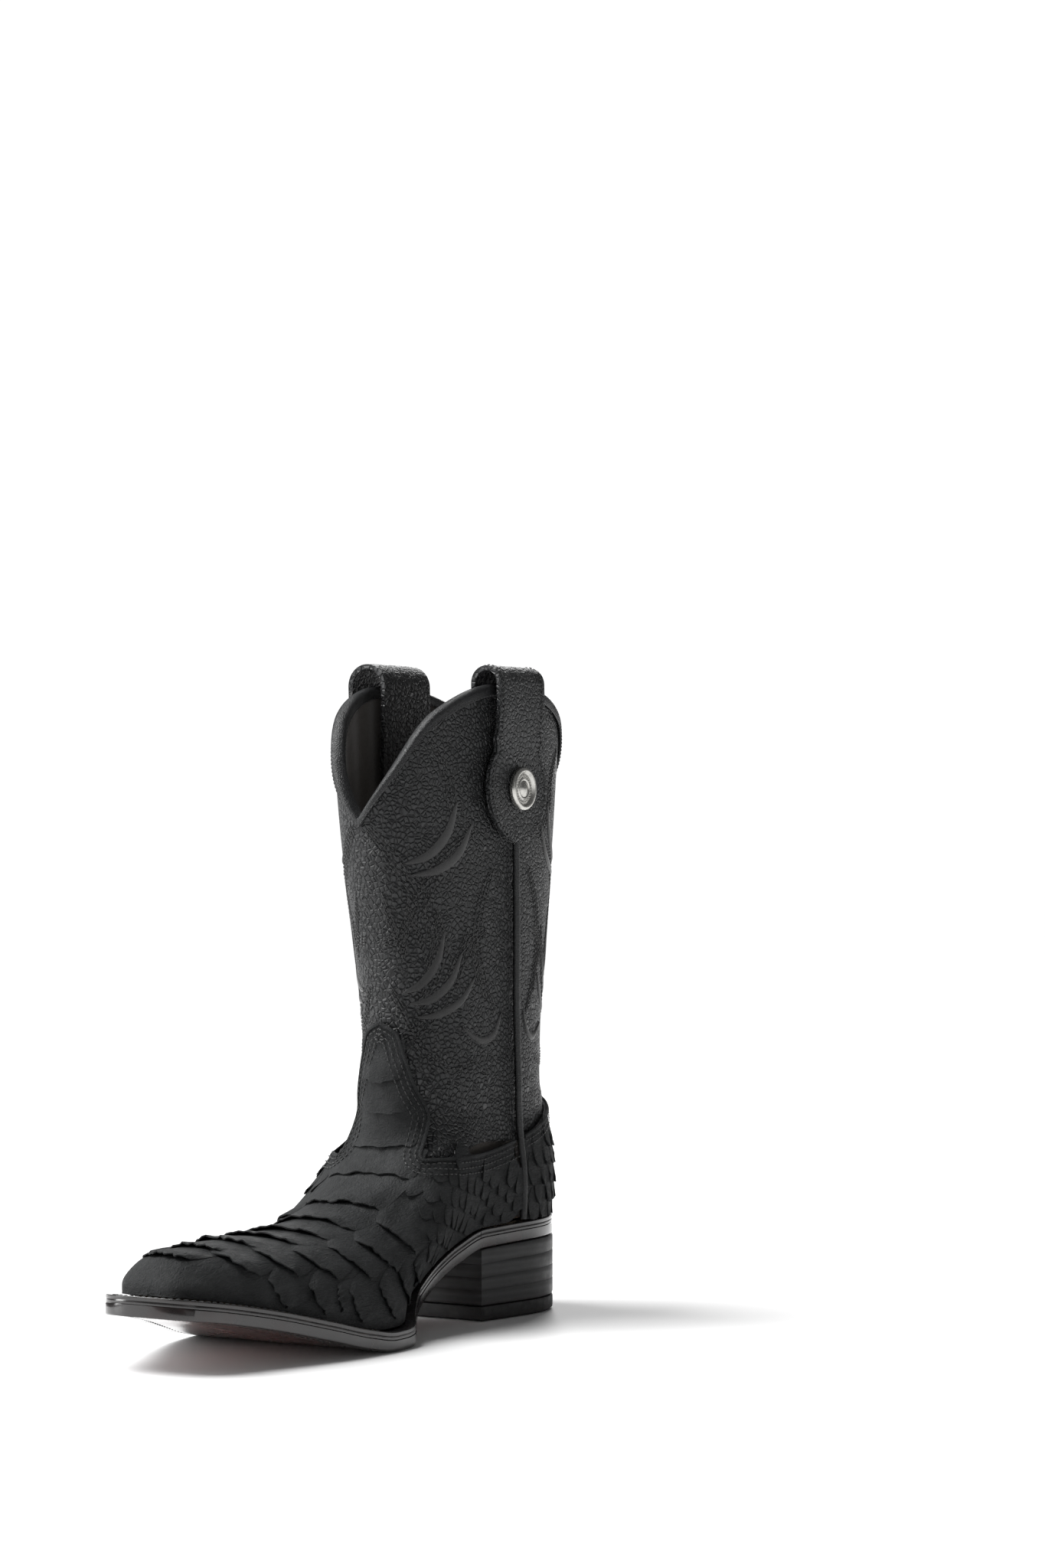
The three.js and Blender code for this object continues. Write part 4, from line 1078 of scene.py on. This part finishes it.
def inside_panel(flat, middle, way):
    us = middle + way * flat[:, 0] / QUARTER_ROUND * 0.25
    below = flat[:, 1] < rim_height(us) - 8
    above = flat[:, 1] > top_line(fold(us)) + (5 if abs(middle) < 0.1 else 6)
    strap = (np.abs(flat[:, 0] - QUARTER_ROUND) < 20) & (flat[:, 1] > RIM_HEIGHT - STRAP_DROP - 6)
    return below & above & ~strap


def clipped_rows(line, middle, way):
    keep = inside_panel(line, middle, way)
    rows, start = [], None
    for i, good in enumerate(list(keep) + [False]):
        if good and start is None:
            start = i
        if not good and start is not None:
            if i - start > 3:
                points, normals = to_shaft(line[start:i], middle, way, 0.1)
                rows.append(stitch_row(points, normals, 2.3, 1.9, 0.3))
            start = None
    return rows


def embroidery():
    for panel, middle, ways in (("front", 0.0, (1, -1)), ("back", 0.5, (-1, 1))):
        rows = []
        satin = bmesh.new()
        for way in ways:
            for points, count, gap in FLAMES:
                base = spline(points, 70)
                taper = np.sin(np.linspace(0.15, math.pi - 0.1, len(base))) ** 0.6
                for k in range(count):
                    rows += clipped_rows(beside(base, (k - (count - 1) / 2) * gap * taper), middle, way)
            zigzag = np.concatenate([np.linspace(ZIGZAG[i], ZIGZAG[i + 1], 12, endpoint=False)
                                     for i in range(len(ZIGZAG) - 1)])
            for k in range(4):
                rows += clipped_rows(zigzag + np.array([0, 3.0 * k]), middle, way)
            for points, width in LEAVES:
                line = spline(points, 36)
                if not inside_panel(line, middle, way).all():
                    continue
                swell = width / 2 * np.sin(np.linspace(0.02, math.pi * 0.97, len(line))) ** 0.8

                def place(a, b, line=line, swell=swell, way=way):
                    row = np.round(b * (len(line) - 1)).astype(int)
                    k = a * 2 - 1
                    flat = np.empty((len(row), 2))
                    for column in np.unique(a):
                        pick = a == column
                        flat[pick] = beside(line, swell * (column * 2 - 1))[row[pick]]
                    points, normals = to_shaft(flat, middle, way, 0.0)
                    return points + normals * (0.12 + 0.45 * (1 - k * k))[:, None]
                leaf = bmesh.new()
                grid(leaf, 6, len(line) - 1, place)
                face_off_upper(leaf)
                thicken(leaf, 0.5)
                gather(satin, [mesh_of(leaf, "leaf")])
        sewn(f"embroidery_{panel}", rows)
        finish_piece(satin, f"satin_leaves_{panel}", SATIN_FINISH, weld=1e-6)


embroidery()


# ---------- pull straps ----------
def seam_x(z):
    vs = ring_at(0.25, z)
    return abs(float(skin(np.array(0.25), vs)[0]))


LOOP_CENTRE = seam_x(RIM_HEIGHT) + (PANEL_FACE + LINING_BACK) / 2
STRAP_END = RIM_HEIGHT - STRAP_DROP


def strap_path():
    """Middle line of the strap: x out from the boot's middle, height, and its outward side."""
    def flared(z, leg, loop):
        return lerp(leg, loop, float(smooth((z - (RIM_HEIGHT - LOOP_ROOM - FLARE)) / FLARE)))
    points = []
    for z in np.linspace(STRAP_END + 0.4, RIM_HEIGHT + LOOP_LIFT, 70):
        points.append((flared(z, seam_x(z) - GAP, LOOP_CENTRE + LOOP_RADIUS) + STRAP / 2, z))
    radius = LOOP_RADIUS + STRAP / 2
    for turn in np.linspace(0, math.pi, 25)[1:-1]:
        points.append((LOOP_CENTRE + math.cos(turn) * radius,
                       RIM_HEIGHT + LOOP_LIFT + math.sin(turn) * radius))
    for z in np.linspace(RIM_HEIGHT + LOOP_LIFT, RIM_HEIGHT - STRAP_INNER_DROP, 40):
        points.append((flared(z, seam_x(z) + LINING_BACK - 2.2, LOOP_CENTRE - LOOP_RADIUS) - STRAP / 2, z))
    return np.array(points)


STRAP_LINE = strap_path()
STRAP_TRAVEL = np.concatenate([[0], np.cumsum(np.linalg.norm(np.diff(STRAP_LINE, axis=0), axis=1))])


def strap_half(travel):
    """Half width of the strap: a round flared end with a small notch each side, then parallel edges."""
    end = STRAP_END_RADIUS
    from_centre = travel - end
    round_part = np.sqrt(np.maximum(end ** 2 - from_centre ** 2, 0))
    neck = STRAP_WIDTH / 2 + 1.4 * np.exp(-((travel - 47) / 2.2) ** 2)
    return np.where(from_centre < 0, round_part, np.maximum(round_part, neck))


def at_strap(travel, axis):
    return np.interp(travel, STRAP_TRAVEL, STRAP_LINE[:, axis])


def strap_frame(travel):
    """Place of the strap's middle line a travel from its lower end, and its outward direction."""
    x, z = at_strap(travel, 0), at_strap(travel, 1)
    ahead_x, ahead_z = (at_strap(travel + 0.5, k) - at_strap(travel - 0.5, k) for k in (0, 1))
    size = np.maximum(np.hypot(ahead_x, ahead_z), 1e-9)
    return x, z, ahead_z / size, -ahead_x / size


def on_strap(travel, across, side, lift):
    x, z, out_x, out_z = strap_frame(travel)
    centre = side_seam(np.minimum(z, RIM_HEIGHT))
    return np.stack([side * (x + out_x * lift), centre + across, z + out_z * lift], -1)


def hang_strap(piece):
    """Bakes the piece's placement into its mesh."""
    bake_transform(piece)


def pull_straps():
    total = STRAP_TRAVEL[-1]
    for name, side in (("medial", 1), ("lateral", -1)):
        def place(a, b, side=side):
            travel = 0.35 + (total - 0.35) * b
            edge = a * 2 - 1
            half = strap_half(travel)
            crown = 0.25 * (1 - np.abs(edge) ** 6) - 0.12 * np.exp(-((np.abs(edge) - 0.86) / 0.05) ** 2)
            return on_strap(travel, half * edge, side, STRAP / 2 - 0.25 + crown)
        bm = bmesh.new()
        grid(bm, 36, 200, place)
        facing(bm, lambda f: f.normal.x * side if f.calc_center_median().z < RIM_HEIGHT - 8
               and abs(f.calc_center_median().x) > LOOP_CENTRE else 0)
        bmesh.ops.solidify(bm, geom=bm.faces[:], thickness=STRAP)
        strap = finish_piece(bm, f"pull_strap_{name}", STRAP_FINISH, body=None,
                             stands_for=[f"strap_outer_{name}", f"strap_inner_{name}", f"pull_loop_{name}"])
        hang_strap(strap)
        rows = []
        travel = np.linspace(3, total - 3, 400)
        for edge in (-1, 1):
            across = edge * (strap_half(travel) - 2.6)
            points = on_strap(travel, across, side, STRAP / 2 + 0.1)
            x, z, out_x, out_z = strap_frame(travel)
            normals = np.stack([side * out_x, np.zeros_like(out_x), out_z], -1)
            rows.append(stitch_row(points, normals, 2.4, 1.8, 0.26))
        hang_strap(sewn(f"strap_stitches_{name}", rows, body=None))


# Radius and height round the stud's middle, from the dome out over the border and under.
CONCHO_PROFILE = [(0.02, 2.7), (1.2, 2.65), (2.3, 2.35), (3.2, 1.9), (3.8, 1.8), (4.3, 2.15), (4.7, 2.15),
                  (5.2, 1.75), (6.9, 1.7), (7.4, 2.2), (7.9, 2.85), (8.6, 3.0), (9.3, 2.8), (9.8, 2.2),
                  (9.95, 1.4), (9.9, 0.3), (9.6, 0.0), (0.02, 0.0)]
BEADS, BEAD_RING, BEAD_HEIGHT, BEAD_RADIUS = 28, 6.05, 1.75, 0.42


def conchos():
    """A turned silver stud with a raised border, a beaded ring and a plain domed middle."""
    for name, side in (("medial", 1), ("lateral", -1)):
        low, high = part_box(f"concho_{name}")
        centre = (low + high) / 2 / MM
        base = min(abs(low.x), abs(high.x)) / MM
        bm = bmesh.new()
        verts = [bm.verts.new((r, 0, h)) for r, h in CONCHO_PROFILE]
        edges = [bm.edges.new((a, b)) for a, b in zip(verts, verts[1:])]
        bmesh.ops.spin(bm, geom=verts + edges, cent=(0, 0, 0), axis=(0, 0, 1), angle=2 * math.pi, steps=48,
                       use_merge=True)
        bmesh.ops.remove_doubles(bm, verts=bm.verts, dist=0.03)
        bmesh.ops.recalc_face_normals(bm, faces=bm.faces)
        for k in range(BEADS):
            turn = 2 * math.pi * k / BEADS
            spot = (BEAD_RING * math.cos(turn), BEAD_RING * math.sin(turn), BEAD_HEIGHT)
            bmesh.ops.create_uvsphere(bm, u_segments=6, v_segments=4, radius=BEAD_RADIUS,
                                      matrix=Matrix.Translation(spot))
        turn = Matrix.Rotation(side * math.pi / 2, 4, "Y")
        bmesh.ops.transform(bm, matrix=turn, verts=bm.verts)
        bmesh.ops.translate(bm, vec=(side * base, centre.y, centre.z), verts=bm.verts)
        finish_piece(bm, f"silver_concho_{name}", SILVER_FINISH, stands_for=[f"concho_{name}"],
                     hard=35, weld=1e-5)


pull_straps()
conchos()


# ---------- sole ----------
def edge_path(inset, shares, end, turned_from):
    """Outline points at an inset: share -1 is the lateral end, 0 the tip, +1 the medial end."""
    shares = np.asarray(shares, float)
    side = np.where(shares >= 0, 1.0, -1.0)
    far = np.abs(shares)
    tip = TOE + inset if turned_from == "toe" else HEEL_BACK - inset
    y = lerp(tip, end, far ** 2.2)
    return side * half_width(y, side, inset), y


def sole_band(bm, section, shares, end, turned_from):
    """Sweeps a section of (inset, height over the outsole's underside) round toe or heel."""
    insets = np.array([p[0] for p in section])
    lifts = np.array([p[1] for p in section])
    steps = len(shares) - 1

    def place(a, b):
        k = np.round(a * len(section)).astype(int) % len(section)
        row = np.round(b * steps).astype(int)
        out = np.empty((len(a), 3))
        for index in range(len(section)):
            pick = k == index
            x, y = edge_path(insets[index], np.asarray(shares)[row[pick]], end, turned_from)
            out[pick] = np.stack([x, y, bottom_at(y) + lifts[index]], -1)
        return out
    return grid(bm, len(section), steps, place)


def rounded_section(inner, outer, low, high, radius=0.7):
    """A band's section with rounded outer corners, from inset `outer` in to inset `inner`."""
    points = [(inner, low)]
    for turn in np.linspace(0, math.pi / 2, 5):
        points.append((outer + radius - math.sin(turn) * radius, low + radius - math.cos(turn) * radius))
    middle = (low + high) / 2
    points += [(outer + 0.03, middle - 0.3), (outer + 0.14, middle), (outer + 0.03, middle + 0.3)]
    for turn in np.linspace(0, math.pi / 2, 5):
        points.append((outer + radius - math.cos(turn) * radius, high - radius + math.sin(turn) * radius))
    points += [(inner, high)]
    return points


def welt_and_rand():
    low = OUTSOLE + 0.04
    for name, proud, end, origin, node in (("welt", WELT_PROUD, BREAST - GAP, "toe", "welt"),
                                           ("heel_rand", RAND_PROUD, BREAST, "heel", "heel_rand")):
        bm = bmesh.new()
        shares = np.linspace(-1, 1, 361 if name == "welt" else 201)
        section = rounded_section(proud + WELT_LAP, 0.2, low, low + WELT, 0.35)
        sole_band(bm, section, shares, end, origin)
        cap_ends(bm)
        outwards(bm)
        finish_piece(bm, f"{name}_leather", EDGE_FINISH, stands_for=[node], hard=35)
    shares = np.linspace(-0.72, 0.72, 900)
    x, y = edge_path(2.9, shares, BREAST, "toe")
    points = np.stack([x, y, bottom_at(y) + low + WELT + 0.05], -1)
    up = np.tile((0.0, 0.0, 1.0), (len(points), 1))
    row = stitch_row(points, up, 3.2, 2.5, 0.4, flat=0.8)
    sewn("welt_stitches", [row])


def outsole():
    """Leather outsole, burnished darker towards its edge, with its stitches sunk in a channel."""
    stations = 300
    shares = 0.5 - 0.5 * np.cos(np.linspace(0, math.pi, stations + 1))
    ys = lerp(TOE, HEEL_BACK, shares)
    medial, lateral = half_width(ys, 1, 0), half_width(ys, -1, 0)
    across = np.linspace(0, 1, 33)
    bm = bmesh.new()
    loop = 33 + 3 + 9 + 3

    def place(a, b):
        k = np.round(a * loop).astype(int) % loop
        row = np.round(b * stations).astype(int)
        out = np.empty((len(a), 3))
        for i, (kk, r) in enumerate(zip(k, row)):
            y, m, l = ys[r], medial[r], lateral[r]
            z = float(bottom_at(y))
            cut = min(0.9, m / 3)
            if kk < 33:
                s = across[kk]
                x = lerp(-l + cut, m - cut, s)
                near = min(x + l, m - x, y - TOE, HEEL_BACK - y)
                channel = 0.35 * math.exp(-((near - 6.2) / 0.55) ** 2) if y < BREAST else 0
                out[i] = (x, y, z + channel)
            elif kk < 36:
                out[i] = (m if kk > 33 else m - cut * 0.3, y, z + (cut * 0.3, cut, 4.8)[kk - 33])
            elif kk < 45:
                out[i] = (lerp(m - cut * 0.3, -l + cut * 0.3, (kk - 36) / 8), y, z + OUTSOLE)
            else:
                out[i] = (-l if kk < 47 else -l + cut * 0.3, y, z + (4.8, cut, cut * 0.3)[kk - 45])
        return out
    grid(bm, loop, stations, place)
    outwards(bm)
    edge = bm.verts.layers.float.new("edge")
    for vert in bm.verts:
        x, y, z = vert.co
        near = min(x + float(half_width(y, -1, 0)), float(half_width(y, 1, 0)) - x, y - TOE, HEEL_BACK - y)
        under = z < float(bottom_at(y)) + 0.6
        vert[edge] = max(near, 0) if under else 0
    finish_piece(bm, "outsole_leather", SOLE_FINISH, stands_for=["outsole"], hard=50)
    rows = []
    for inset, limit in ((6.2, 0.82), (8.2, 0.2)):
        line = np.linspace(-limit, limit, 900)
        x, y = edge_path(inset, line, BREAST, "toe")
        points = np.stack([x, y, bottom_at(y) + 0.22], -1)
        down = np.tile((0.0, 0.0, -1.0), (len(points), 1))
        rows.append(stitch_row(points, down, 3.0, 2.3, 0.33))
    sewn("outsole_stitches", rows)


def middle_of(node):
    low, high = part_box(node)
    return (low + high) / 2 / MM


def waist_pegs():
    bm = bmesh.new()
    names = [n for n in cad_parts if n.startswith("waist_peg")]
    for node in sorted(names):
        middle = middle_of(node)
        z = float(bottom_at(middle.y))
        stand = Matrix.Translation((middle.x, middle.y, z + 0.35)) @ Matrix.Rotation(math.pi, 4, "X")
        bmesh.ops.create_cone(bm, cap_ends=True, segments=12, radius1=1.1, radius2=0.75, depth=1.2,
                              matrix=stand)
    finish_piece(bm, "waist_pegs", PEG_FINISH, stands_for=names, hard=35, weld=1e-5)


# ---------- heel ----------
def heel_outline(steps_round, steps_breast, inset=0.0):
    shares = np.linspace(-1, 1, steps_round)
    x, y = edge_path(inset, shares, BREAST + inset, "heel")
    breast_x = np.linspace(x[-1], x[0], steps_breast + 2)[1:-1]
    return np.concatenate([x, breast_x]), np.concatenate([y, np.full(steps_breast, BREAST + inset)])


def heel_stack(name, levels, material, node, top_of=None):
    """A D-shaped block through levels of (height share or mm, inset)."""
    bm = bmesh.new()
    outlines = [heel_outline(160, 30, inset) for _, inset in levels]
    count = len(outlines[0][0])

    def place(a, b):
        k = np.round(a * count).astype(int) % count
        row = np.round(b * (len(levels) - 1)).astype(int)
        out = np.empty((len(a), 3))
        for i, (kk, r) in enumerate(zip(k, row)):
            x, y = outlines[r][0][kk], outlines[r][1][kk]
            out[i] = (x, y, top_of(levels[r][0], y) if top_of else levels[r][0])
        return out
    grid(bm, count, len(levels) - 1, place)
    cap_ends(bm)
    outwards(bm)
    finish_piece(bm, name, material, stands_for=[node] if node else (), hard=30)


def heel():
    low = CAP + GAP
    layers = [(0.0, 0.9), (0.012, 0.25), (0.04, 0.0)]
    for lift in (0.27, 0.5, 0.74):
        layers += [(lift - 0.016, 0.0), (lift, 0.16), (lift + 0.016, 0.0)]
    layers += [(0.97, 0.0), (0.99, 0.2), (1.0, 0.7)]
    heel_stack("heel_stack", layers, BLOCK_FINISH, "heel_block",
               lambda share, y: lerp(low, float(bottom_at(y)) - GAP, share))
    cap_levels = [(1.0, 0.6), (1.25, 0.1), (2.0, 0.0), (6.2, 0.0), (6.75, 0.15), (7.0, 0.6)]
    heel_stack("heel_cap_rubber", cap_levels, RUBBER_FINISH, "heel_cap")
    nails = sorted(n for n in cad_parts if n.startswith("heel_nail"))
    tread_pattern([middle_of(n) for n in nails])


def tread_pattern(nails):
    """The ribbed underside: straight ribs along the breast, fine slanting ribs behind, a plain oval boss."""
    columns, rows = 190, 210
    bm = bmesh.new()

    def place(a, b):
        y = lerp(BREAST + 0.7, HEEL_BACK - 0.7, b)
        x = lerp(-half_width(y, -1, 0.7), half_width(y, 1, 0.7), a)
        inner = (a > 0) & (a < 1) & (b > 0) & (b < 1)
        straight = 0.5 + 0.5 * np.cos((y - BREAST) * 2 * math.pi / 2.4)
        slant = 0.5 + 0.5 * np.cos((x * 0.62 + y * 0.78) * 2 * math.pi / 1.9)
        height = np.where(y < BREAST + 13.5, np.clip(straight * 1.7 - 0.3, 0, 1),
                          np.clip(slant * 1.6 - 0.2, 0, 1))
        height = np.where(np.abs(y - BREAST - 14.2) < 0.7, 1.0, height)
        away = np.sqrt((x / 12.5) ** 2 + ((y - 14) / 16.0) ** 2)
        height = np.where(away < 1.12, 0.15, height)
        height = np.where(np.abs(away - 1.04) < 0.05, 1.0, height)
        height = np.where(np.abs(away - 0.78) < 0.04, 0.8, height)
        z = 1.0 - 0.72 * height
        for nail in nails:
            reach = np.hypot(x - nail.x, y - nail.y)
            z = np.where(reach < 3.4, 0.35, z)
            z = np.where(reach < 2.1, 1.5, z)
        rim = np.minimum(np.minimum(x + half_width(y, -1, 0), half_width(y, 1, 0) - x), HEEL_BACK - y)
        z = np.where(rim < 2.0, 0.35, z)
        z = np.where(inner, z, 1.1)
        return np.stack([x, y, z], -1)
    grid(bm, columns, rows, place)
    facing(bm, lambda f: -f.normal.z)
    thicken(bm, 0.8)
    finish_piece(bm, "heel_tread", RUBBER_FINISH, hard=40)


welt_and_rand()
outsole()
waist_pegs()
heel()

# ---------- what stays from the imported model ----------
KEPT = {"heel_nail": STEEL_FINISH, "insole": BOARD_FINISH, "toe_stiffener": BOARD_FINISH,
        "counter_stiffener": BOARD_FINISH, "cork_filler": CORK_FINISH, "shank": STEEL_FINISH,
        "sock_liner": LINING_FINISH}
for node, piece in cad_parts.items():
    if piece.hide_render:
        continue
    finish = next(material for start, material in KEPT.items() if node.startswith(start))
    piece.data.materials.clear()
    piece.data.materials.append(finish)


# ---------- floor, light and camera ----------
BACKDROP_RADIUS = 40.0
VIEW_ROUND, VIEW_DISTANCE, EYE_HEIGHT = math.radians(33), 1.72, 0.218
VIEW_YAW, VIEW_TILT = math.radians(1.07), math.radians(0.9)


def floor():
    bm = bmesh.new()
    bmesh.ops.create_grid(bm, x_segments=8, y_segments=8, size=BACKDROP_RADIUS - 1)
    plane = put_in_scene("floor", mesh_of(bm, "floor"))
    w = Weave(new_material("floor_paint", (0.9, 0.9, 0.9), 0.55, specular=0.3))
    w.color(w.ramp(w.noise(3, 2), [(0.0, (0.89, 0.89, 0.89)), (1.0, (0.92, 0.92, 0.92))]))
    plane.data.materials.append(w.material)


def backdrop():
    """A white shell round the set that only closes the view; it lights nothing and casts nothing."""
    bm = bmesh.new()
    bmesh.ops.create_uvsphere(bm, u_segments=48, v_segments=24, radius=BACKDROP_RADIUS)
    bmesh.ops.reverse_faces(bm, faces=bm.faces)
    shell = put_in_scene("backdrop", mesh_of(bm, "backdrop"))
    paint = bpy.data.materials.new("backdrop_white")
    paint.use_nodes = True
    shader = paint.node_tree.nodes["Principled BSDF"]
    shader.inputs["Base Color"].default_value = (0, 0, 0, 1)
    shader.inputs["Emission Color"].default_value = (1, 1, 1, 1)
    shader.inputs["Emission Strength"].default_value = 1.05
    shell.data.materials.append(paint)
    shell.visible_diffuse = shell.visible_glossy = shell.visible_shadow = False
    shell.visible_transmission = shell.visible_volume_scatter = False


def soft_light(name, place, target, size, power):
    light = bpy.data.lights.new(name, "AREA")
    light.shape = "RECTANGLE"
    light.size, light.size_y = size
    light.energy = power
    lamp = put_in_scene(name, light)
    lamp.location = place
    aim(lamp, Vector(target) - Vector(place))


def studio():
    floor()
    backdrop()
    world = bpy.data.worlds.new("studio")
    bpy.context.scene.world = world
    world.use_nodes = True
    back = world.node_tree.nodes["Background"]
    back.inputs["Color"].default_value = (1, 1, 1, 1)
    back.inputs["Strength"].default_value = 0.14
    sun = bpy.data.lights.new("key", "SUN")
    sun.energy = 4.2
    sun.angle = math.radians(38)
    aim(put_in_scene("key", sun), (0.5, 0.25, -1.0))
    soft_light("side", (-1.3, -1.0, 0.7), (0, -0.03, 0.15), (0.5, 1.2), 19)
    soft_light("rim", (-0.7, 1.5, 0.9), (0, 0, 0.15), (0.6, 1.4), 12)
    soft_light("fill", (1.6, -1.2, 0.6), (0, -0.05, 0.1), (0.9, 1.0), 1.2)
    bpy.context.scene.view_settings.view_transform = "Standard"


def camera():
    """Level with the shaft, part way round from the toe towards the inner side."""
    away = Vector((math.sin(VIEW_ROUND), -math.cos(VIEW_ROUND), 0))
    spot = Vector((0, -0.015, EYE_HEIGHT)) + away * VIEW_DISTANCE
    right = Vector((math.cos(VIEW_ROUND), math.sin(VIEW_ROUND), 0))
    ahead = -away * math.cos(VIEW_YAW) + right * math.sin(VIEW_YAW)
    look = ahead * math.cos(VIEW_TILT) + Vector((0, 0, 1)) * math.sin(VIEW_TILT)
    lens = bpy.data.cameras.new("camera")
    lens.lens = 85
    lens.sensor_width = 36
    lens.clip_end = 50
    eye = put_in_scene("camera", lens)
    eye.location = spot
    aim(eye, look)
    bpy.context.scene.camera = eye


studio()
camera()
